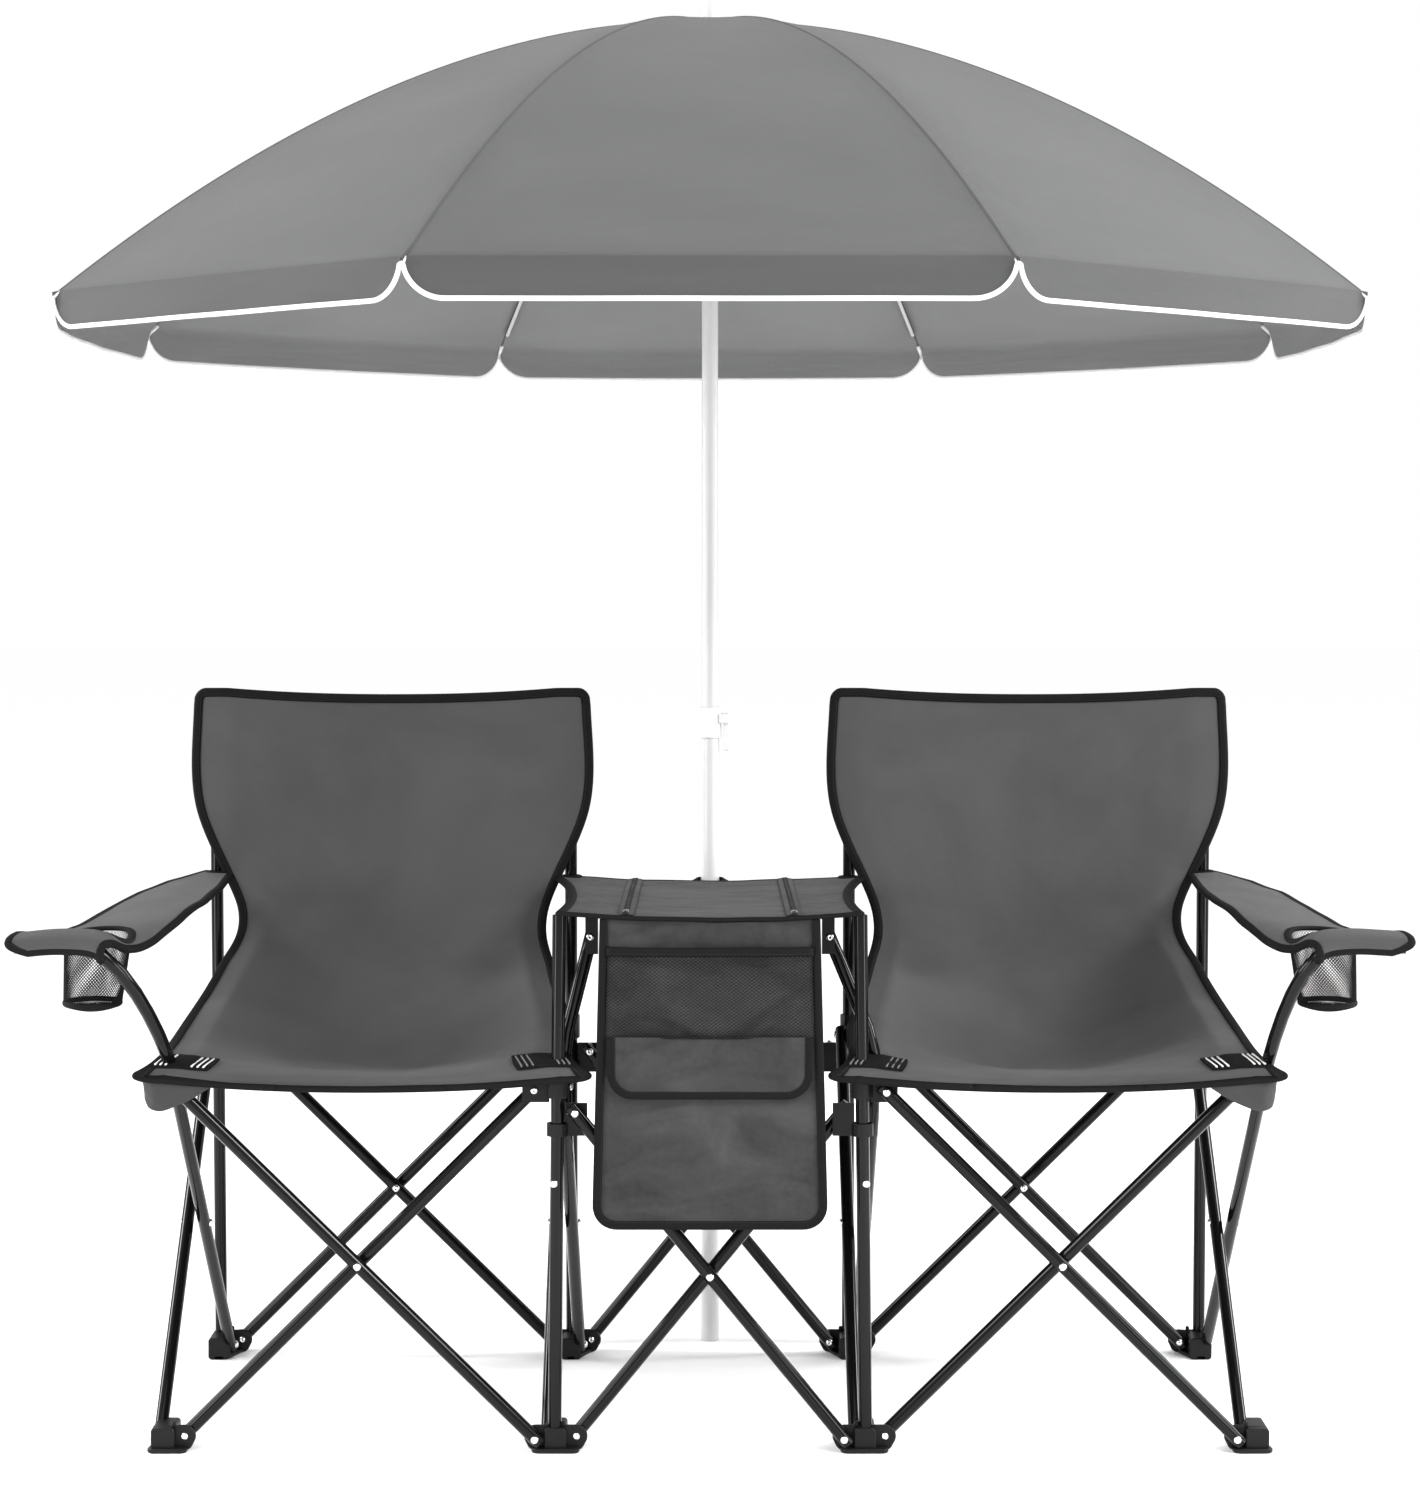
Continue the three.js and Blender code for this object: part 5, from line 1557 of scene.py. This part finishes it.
@dataclass
class Canopy:
    """The umbrella's cloth in gores, with a valance, white bindings, seams and rib tips."""

    radius: float = 0.800
    apex: float = 1.632
    tip: float = 1.282
    hole: float = 0.006
    curve: float = 1.85
    gores: int = 8
    dip: float = 0.008
    dip_fade: float = 1.1
    flatness: float = 0.84
    edge_ease: float = 1.5
    drop: float = 0.044
    flare: float = 0.008
    corner: float = 0.042
    thickness: float = 0.0012
    cut_margin: float = 0.09
    cut_share: float = 0.80
    binding: Pair = (0.0034, 0.0016)
    seam_rise: float = 0.0013
    gore_cells: int = 32
    rings: int = 26
    valance_rows: int = 6
    seam_half: float = 0.0026
    tip_r: float = 0.0030
    tip_reach: float = 0.0100
    tip_from: float = 0.96
    tip_drop: float = 0.0030
    tip_taper: float = 0.8
    tip_ball: float = 1.15
    sway: float = 0.0012
    sway_waves: int = 3
    gather: float = 0.8
    weave: Pair = (5.0, 0.95)
    binding_in: float = 0.004
    binding_steps: int = 64
    seam_from: float = 0.02
    seam_steps: int = 40
    cap_rise: float = 0.0012
    cap_edge: float = 0.0012
    cap_angle: float = 0.6
    cap: tuple[tuple[float, float, float, float], ...] = (
        (0.0, 0.004, 0.0185, 0.0175), (0.0036, 0.0270, 0.0138, 0.0108),
    )

    def within(self, turn: float) -> float:
        """Returns how far round its gore a turn is, from 0 at one rib to 1 at the next."""
        return (turn * self.gores) % 1.0

    def shade(self, turn: float, share: float) -> Vector:
        """Returns the cloth's point at a share of the way from the crown to the rib tips."""
        half = math.pi / self.gores
        between = math.sin(math.pi * self.within(turn))
        angle = 2 * math.pi * turn + half - math.pi / 2
        chord = math.cos(half) / math.cos(half * (2.0 * self.within(turn) - 1.0))
        radius = self.radius * share * (1.0 - self.flatness * (1.0 - chord))
        z = self.apex - (self.apex - self.tip) * share ** self.curve
        z -= self.dip * between * share * (self.dip_fade - share)
        return Vector((radius * math.cos(angle), radius * math.sin(angle), z))

    def valance(self, turn: float, depth: float) -> Vector:
        """Returns the valance's point at a share of the way down, with round lower corners."""
        within = self.within(turn)
        reach = min(within, 1.0 - within) * 2 * math.pi * self.radius / self.gores
        fall = self.drop - self.corner
        side = max(self.corner - reach, 0.0)
        fall += math.sqrt(self.corner ** 2 - side ** 2)
        edge = self.shade(turn, 1.0)
        out = Vector((edge.x, edge.y, 0.0)).normalized()
        wave = math.sin(2 * math.pi * self.sway_waves * within)
        sway = self.sway * wave * depth * min(1.0, reach / self.corner)
        return edge + out * (self.flare * depth + sway) - Vector((0, 0, fall * depth))

    def spread(self, u: float) -> float:
        """Returns the turn at a share round, with the cells closer together beside the ribs."""
        gore = math.floor(u * self.gores + 1e-6)
        w = u * self.gores - gore
        return (gore + w - self.gather * math.sin(2 * math.pi * w) / (2 * math.pi)) / self.gores

    def at(self, u: float, v: float) -> Vector:
        """Returns the cloth's point at shares round it and from the crown to the valance's edge."""
        rows = self.rings + self.valance_rows
        row = round(v * rows)
        start = self.hole / self.radius
        if row <= self.rings:
            eased = 1.0 - (1.0 - row / self.rings) ** self.edge_ease
            return self.shade(self.spread(u), start + (1.0 - start) * eased)
        return self.valance(self.spread(u), (row - self.rings) / self.valance_rows)

    def build(self) -> None:
        """Builds and dresses the cloth, its bindings, seams and rib tips."""
        bm = bmesh.new()
        loft(bm, self.gores * self.gore_cells, self.rings + self.valance_rows, self.at, self.weave, False)
        # Faces below the rib tips take the valance's darker copy of the cloth: painted shade.
        below = self.tip - self.dip * (self.dip_fade - 1.0)
        for face in bm.faces:
            face.material_index = 2 if face.calc_center_median().z < below else 0
        cloth = new_object("canopy_cloth", bm)
        thicken(cloth, self.thickness)
        # The shell's inner side takes the next material, the lighter copy: painted light through the cloth.
        cloth.modifiers["thickness"].material_offset = 1
        trims = [self.bindings(), self.seams(), self.tips(), self.finial()]
        dress(cloth, Finishes.CANOPY, "umbrella_mast")
        for finish in (Finishes.LIT_UNDERSIDE, Finishes.VALANCE, Finishes.LIT_UNDERSIDE):
            cloth.data.materials.append(Finishes.get(finish))
        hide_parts("canopy")

    def bindings(self) -> Piece:
        """Builds and dresses the white binding along each gore's valance."""
        routes = []
        for gore in range(self.gores):
            wide = 1.0 - 2.0 * self.binding_in
            rounds = shares(self.binding_steps)
            turns = [(gore + self.binding_in + wide * share) / self.gores for share in rounds]
            points = [self.valance(self.spread(turn), 1.0) for turn in turns]
            routes.append([Stop(point, Vector((point.x, point.y, 0.0)).normalized()) for point in points])
        binding = swept("valance_binding", routes, tape_section(*self.binding))
        return dress(binding, Finishes.WHITE_BINDING, "umbrella_mast")

    def seams(self) -> Piece:
        """Builds and dresses the felled seam over each rib."""
        half, rise = self.seam_half, self.seam_rise
        section = [(-half, -rise / 2), (-half, rise / 2), (0.0, rise),
                   (half, rise / 2), (half, -rise / 2), (0.0, -rise)]
        routes = []
        for gore in range(self.gores):
            downs = [self.seam_from + (1.0 - self.seam_from) * share for share in shares(self.seam_steps)]
            points = [self.shade(gore / self.gores, down) for down in downs]
            routes.append([Stop(point, UP) for point in points])
        seams = swept("canopy_seams", routes, section)
        return dress(seams, Finishes.SEAM, "umbrella_mast")

    def tips(self) -> Piece:
        """Builds and dresses the white caps on the rib ends."""
        bm = bmesh.new()
        for gore in range(self.gores):
            edge = self.shade(gore / self.gores, 1.0)
            out = (edge - self.shade(gore / self.gores, self.tip_from)).normalized()
            turn = out.to_track_quat("Z", "Y").to_matrix().to_4x4()
            start = edge - Vector((0.0, 0.0, self.tip_drop))
            bmesh.ops.create_cone(bm, cap_ends=True, segments=16, radius1=self.tip_r,
                                  radius2=self.tip_r * self.tip_taper, depth=2 * self.tip_reach,
                                  matrix=Matrix.Translation(start) @ turn)
            bmesh.ops.create_uvsphere(bm, u_segments=16, v_segments=10, radius=self.tip_r * self.tip_ball,
                                      matrix=Matrix.Translation(start + out * self.tip_reach) @ turn)
        return dress(new_object("rib_tips", bm), Finishes.FITTING, "umbrella_mast")

    def finial(self) -> Piece:
        """Builds and dresses the white cap over the crown."""
        bm = bmesh.new()
        base = self.apex + self.cap_rise
        for low, high, foot, top in self.cap:
            spot = Matrix.Translation((0.0, 0.0, base + (low + high) / 2))
            bmesh.ops.create_cone(bm, cap_ends=True, segments=32, radius1=foot, radius2=top,
                                  depth=high - low, matrix=spot)
        rims = [edge for edge in bm.edges if edge.calc_face_angle(0.0) > self.cap_angle]
        bmesh.ops.bevel(bm, geom=rims, offset=self.cap_edge, segments=3, profile=0.5, affect="EDGES",
                        material=-1)
        return dress(new_object("finial_cap", bm), Finishes.RIB, "umbrella_mast")


@dataclass
class Rivets:
    """The domed rivets at the frame's pivots, one piece for each tube that carries them."""

    radius: float = 0.0044
    height: float = 0.0026
    dimple: float = 0.0017
    proud: float = 0.0172
    lug_face: float = 0.0021
    bracket: Triple = (0.1310, -0.4856, 0.565)
    post: Triple = (0.1705, -0.5107, 0.297)

    def dome(self, bm: Mesh, spot: Vector, out: Vector) -> None:
        """Adds one rivet head.

        Args:
            bm: the mesh to add to.
            spot: the middle of its foot.
            out: the way that it faces.
        """
        profile = [
            (self.radius, -0.001), (self.radius, 0.0004), (self.radius * 0.86, self.height * 0.62),
            (self.radius * 0.60, self.height * 0.94), (self.dimple, self.height),
            (self.dimple * 0.7, self.height * 0.72), (0.0002, self.height * 0.6),
        ]
        turn = Matrix.Translation(spot) @ out.to_track_quat("Z", "Y").to_matrix().to_4x4()
        verts = [bm.verts.new((reach, 0.0, rise)) for reach, rise in profile]
        edges = [bm.edges.new(pair) for pair in zip(verts, verts[1:])]
        made = bmesh.ops.spin(bm, geom=verts + edges, cent=(0, 0, 0), axis=(0, 0, 1), angle=2 * math.pi,
                              steps=18, use_merge=True, use_duplicate=False)
        last = {item for item in made["geom_last"] if isinstance(item, bmesh.types.BMVert)}
        faces = set(faces_of(verts))
        reached = set(faces)
        while faces:
            faces = {other for face in faces for edge in face.edges for other in edge.link_faces} - reached
            reached |= faces
        moved = {vert for face in reached for vert in face.verts} | last
        bmesh.ops.transform(bm, matrix=turn, verts=list(moved))

    def piece(self, body: str, heads: Sequence[tuple[Vector, Vector]]) -> None:
        """Builds and dresses the rivets that one tube carries."""
        bm = bmesh.new()
        for spot, out in heads:
            self.dome(bm, spot, out)
        bmesh.ops.recalc_face_normals(bm, faces=bm.faces[:])
        dress(new_object(f"{body}_rivets", bm), Finishes.RIVET, body)

    def build(self) -> None:
        """Builds the rivets of every scissor tube."""
        bays = (("left_chair", -OUTER_PIVOT_X, -INNER_PIVOT_X, HUB_Z),
                ("console", -CONSOLE_PIVOT_X, CONSOLE_PIVOT_X, COLLAR_Z),
                ("right_chair", INNER_PIVOT_X, OUTER_PIVOT_X, HUB_Z))
        for row, y in (("front", FRONT_Y), ("rear", REAR_Y)):
            for bay, left, right, high in bays:
                middle = ((left + right) / 2, (PIVOT_Z + high) / 2)
                for lean, sign in (("falling", -1), ("rising", 1)):
                    low_x, high_x = (right, left) if lean == "falling" else (left, right)
                    spots = ((low_x, PIVOT_Z), (high_x, high), middle)
                    face = y + sign * self.proud
                    heads = [(Vector((x, face, z)), Vector((0, sign, 0))) for x, z in spots]
                    if lean == "rising":
                        seen = spots[:1] if bay == "console" else spots[:2]
                        heads += [(Vector((x, y - self.lug_face, z)), AHEAD) for x, z in seen]
                    self.piece(f"{bay}_{row}_{lean}_tube", heads)
        columns = (("left_outer", -OUTER_SIDE_X), ("left_inner", -INNER_SIDE_X),
                   ("right_inner", INNER_SIDE_X), ("right_outer", OUTER_SIDE_X))
        front, rear = FRONT_Y + SIDE_SET, REAR_Y - SIDE_SET
        middle = ((front + rear) / 2, (PIVOT_Z + HUB_Z) / 2)
        for column, x in columns:
            post = "arm_post" if "outer" in column else "bracket_post"
            for tube_name, sign, low_y, high_y in (("back_brace", -1, front, rear), (post, 1, rear, front)):
                spots = ((low_y, PIVOT_Z), (high_y, HUB_Z), middle)
                heads = [(Vector((x + sign * self.proud, y, z)), Vector((sign, 0, 0))) for y, z in spots]
                if tube_name == "bracket_post":
                    spot = Vector((math.copysign(self.bracket[0], x), *self.bracket[1:]))
                    heads.append((spot, AHEAD))
                self.piece(f"{column}_{tube_name}", heads)
        for side in Side:
            self.piece(f"front_{side.word}_inner", [(side.mirror(self.post), AHEAD)])


@dataclass
class Feet:
    """The moulded feet, each with a body round the standing tube, lugs for the rivets and a pad."""

    lug_r: float = 0.0125
    lug_half: float = 0.0020
    outer_body: Pair = (0.5875, 0.6135)
    inner_half: float = 0.0120
    height: float = 0.0265
    front: float = 0.0095
    reach: float = 0.0385
    pad_height: float = 0.0050
    pad_front: float = 0.0150
    corner: float = 0.0040
    edge: float = 0.0011
    tab_in: float = 0.0090
    tab: Triple = (0.0022, 0.0240, 0.0325)
    tab_round: float = 0.9
    heel: float = 0.75
    disc_steps: int = 20
    crease: float = 32.0

    def hull(self, bm: Mesh, discs: Sequence[Triple], span: Pair, upright: bool) -> None:
        """Adds a body with softened rims, whose outline is drawn tight round some discs.

        Args:
            bm: the mesh to add to.
            discs: each disc's middle and radius, in x and z for an upright outline, else in x and y.
            span: where the body starts and ends, along y for an upright outline, else along z.
            upright: whether the outline is seen from the front.
        """
        low, high = sorted(span)
        verts = []
        levels = ((low, self.edge), (low + self.edge, 0.0), (high - self.edge, 0.0), (high, self.edge))
        for level, inset in levels:
            for a, b, radius in discs:
                for i in range(self.disc_steps):
                    turn = 2 * math.pi * i / self.disc_steps
                    p, q = a + (radius - inset) * math.cos(turn), b + (radius - inset) * math.sin(turn)
                    verts.append(bm.verts.new((p, level, q) if upright else (p, q, level)))
        made = bmesh.ops.convex_hull(bm, input=verts)
        spare = dict.fromkeys(item for key in ("geom_interior", "geom_unused") for item in made[key])
        loose = [item for item in spare if isinstance(item, bmesh.types.BMVert)]
        bmesh.ops.delete(bm, geom=loose, context="VERTS")

    def box(self, x: Pair, z: Pair, radius: float) -> list[Triple]:
        """Returns the four discs of a rounded rectangle."""
        return [(a, b, radius) for a in (min(x) + radius, max(x) - radius)
                for b in (min(z) + radius, max(z) - radius)]

    def foot(self, side: Side, column: str, row: str) -> None:
        """Builds and dresses one foot.

        Args:
            side: which chair.
            column: outer or inner.
            row: front or rear.
        """
        sign = side.value
        y, inward = (FRONT_Y, 1) if row == "front" else (REAR_Y, -1)
        if column == "outer":
            body, lugs, middle = self.outer_body, (OUTER_PIVOT_X,), OUTER_SIDE_X
        else:
            body = (INNER_SIDE_X - self.inner_half, INNER_SIDE_X + self.inner_half)
            lugs, middle = (INNER_PIVOT_X, CONSOLE_PIVOT_X), INNER_SIDE_X
        wide = tuple(sign * x for x in body)
        bm = bmesh.new()
        self.hull(bm, self.box(wide, (0.0, self.height), self.corner),
                  (y - inward * self.front, y + inward * self.reach), True)
        plate = self.box(wide, (0.0, self.height), self.corner)
        for x in lugs:
            heel = self.lug_r * self.heel
            plate += [(sign * x, PIVOT_Z, self.lug_r), (sign * x, heel, heel)]
        self.hull(bm, plate, (y - self.lug_half, y + self.lug_half), True)
        pad = [(x, y + inward * (self.reach - 2 * self.corner), 2 * self.corner) for x in wide]
        pad = [(x + math.copysign(2 * self.corner, sum(wide) / 2 - x), b, r) for x, b, r in pad]
        ends = list(wide) + [sign * x for x in lugs]
        pad += [(x, y - inward * (self.pad_front - 2 * self.corner), 2 * self.corner)
                for x in (min(ends) + self.corner, max(ends) - self.corner)]
        self.hull(bm, pad, (0.0, self.pad_height), False)
        tab = sign * (middle - self.tab_in)
        half = self.tab[0]
        self.hull(bm, self.box((tab - half, tab + half), self.tab[1:], half * self.tab_round),
                  (y - self.lug_half, y + self.lug_half), True)
        bmesh.ops.recalc_face_normals(bm, faces=bm.faces[:])
        name = f"{side.word}_{column}_{row}_foot"
        piece = new_object(f"{name}_moulding", bm)
        piece.modifiers.new("crisp", "EDGE_SPLIT").split_angle = math.radians(self.crease)
        dress(piece, Finishes.MOULDING, f"{row}_{side.word}_{column}")
        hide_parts(name)

    def build(self) -> None:
        """Builds the eight feet."""
        for side in Side:
            for column in ("outer", "inner"):
                for row in ("front", "rear"):
                    self.foot(side, column, row)


@dataclass
class HardParts:
    """The tubes, mouldings and poles that stay as the CAD made them."""

    weld: float = 0.00001
    crease: float = 40.0
    bevel: float = 0.0011
    bevel_angle: float = 35.0

    def smooth(self, node: Piece) -> None:
        """Rounds a turned or bent piece's shading, with its ends kept crisp."""
        node.modifiers.new("weld", "WELD").merge_threshold = self.weld
        for polygon in node.data.polygons:
            polygon.use_smooth = True
        node.modifiers.new("crisp", "EDGE_SPLIT").split_angle = math.radians(self.crease)

    def soften(self, node: Piece) -> None:
        """Bevels a moulded piece's edges."""
        node.modifiers.new("weld", "WELD").merge_threshold = self.weld
        bevel = node.modifiers.new("soft_edges", "BEVEL")
        bevel.width = self.bevel
        bevel.segments = 2
        bevel.limit_method = "ANGLE"
        bevel.angle_limit = math.radians(self.bevel_angle)
        bevel.harden_normals = False

    def build(self) -> None:
        """Dresses every CAD node that shows."""
        for name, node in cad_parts.items():
            if node.hide_render:
                continue
            if name.endswith(("_hub", "_collar")) and name != "pole_collar":
                self.soften(node)
                finish, slot = Finishes.MOULDING, "black_moulding"
            elif name in ("pole_collar", "collar_lever"):
                self.soften(node)
                finish, slot = Finishes.FITTING, "white_moulding"
            elif name in ("lower_pole", "upper_pole", "umbrella_ribs"):
                self.smooth(node)
                finish = Finishes.RIB if name == "umbrella_ribs" else Finishes.POLE
                slot = "white_pole"
            else:
                self.smooth(node)
                finish, slot = Finishes.TUBE, "black_tube"
            node.data.materials.clear()
            node.data.materials.append(Finishes.get(finish))
            log.info("node %s has the finish %s", name, finish.name)


@dataclass
class Studio:
    """The floor, the soft lights and the camera at the photo's viewpoint."""

    eye: Triple = (0.0, -4.003, 0.984)
    tilt: float = 3.48
    lens: float = 77.55
    surround: float = 1.0
    strip_power: float = 105.0
    strip_size: Pair = (0.45, 2.6)
    strip_spot: Triple = (3.3, 0.3, 1.9)
    low_power: float = 45.0
    low_size: Pair = (0.9, 1.6)
    low_spot: Triple = (3.0, -2.2, 0.75)
    high_powers: Pair = (60.0, 120.0)
    high_size: Pair = (1.6, 0.9)
    high_spot: Triple = (2.3, -2.3, 2.7)
    top_power: float = 24.0
    top_size: Pair = (3.0, 3.0)
    top_spot: Triple = (0.0, -0.4, 4.4)
    aim: Triple = (0.0, -0.3, 0.9)
    sensor: float = 36.0
    floor_half: float = 30.0
    floor_drop: float = 0.0004

    def build(self) -> None:
        """Builds the studio round the object."""
        self.floor()
        self.lights()
        self.camera()

    def floor(self) -> None:
        """Lays a plain pale floor under and behind the object."""
        bm = bmesh.new()
        under = Matrix.Translation((0.0, 0.0, -self.floor_drop))
        bmesh.ops.create_grid(bm, x_segments=1, y_segments=1, size=self.floor_half, matrix=under)
        floor = new_object("floor", bm)
        floor.data.materials.append(Finishes.get(Finishes.FLOOR))

    def lights(self) -> None:
        """Adds an even surround, a strip, a low and a high lamp at each side, and a lamp overhead."""
        bpy.context.scene.view_settings.view_transform = "Standard"
        world = bpy.context.scene.world or bpy.data.worlds.new("studio")
        bpy.context.scene.world = world
        world.use_nodes = True
        back = world.node_tree.nodes["Background"]
        back.inputs["Color"].default_value = (1.0, 1.0, 1.0, 1.0)
        back.inputs["Strength"].default_value = self.surround
        for side, high_power in zip(Side, self.high_powers):
            lamps = (("strip", self.strip_spot, self.strip_size, self.strip_power),
                     ("low_lamp", self.low_spot, self.low_size, self.low_power),
                     ("high_lamp", self.high_spot, self.high_size, high_power))
            for name, spot, size, power in lamps:
                self.lamp(f"{side.word}_{name}", side.mirror(spot), size, power)
        self.lamp("top_lamp", Vector(self.top_spot), self.top_size, self.top_power)

    def lamp(self, name: str, spot: Vector, size: Pair, power: float) -> None:
        """Adds one soft lamp that is aimed at the object.

        Args:
            name: the lamp's name.
            spot: where it hangs.
            size: its width and height.
            power: in watts.
        """
        light = bpy.data.lights.new(name, "AREA")
        light.shape = "RECTANGLE"
        light.size, light.size_y = size
        light.energy = power
        holder = bpy.data.objects.new(name, light)
        bpy.context.scene.collection.objects.link(holder)
        holder.location = spot
        holder.rotation_euler = (Vector(self.aim) - spot).to_track_quat("-Z", "Y").to_euler()

    def camera(self) -> None:
        """Places the camera where the photograph was taken from."""
        lens = bpy.data.cameras.new("camera")
        lens.sensor_fit = "VERTICAL"
        lens.sensor_height = self.sensor
        lens.lens = self.lens
        holder = bpy.data.objects.new("camera", lens)
        bpy.context.scene.collection.objects.link(holder)
        holder.location = self.eye
        holder.rotation_euler = (math.radians(90.0 - self.tilt), 0.0, 0.0)
        bpy.context.scene.camera = holder


def main() -> None:
    """Builds the sub-assemblies in order."""
    logging.basicConfig(level=logging.INFO, format="%(message)s")
    for side in Side:
        Sling(side).build()
        Armrest(side).build()
    Console().build()
    Canopy().build()
    Rivets().build()
    Feet().build()
    HardParts().build()
    Studio().build()


if __name__ == "__main__":
    main()
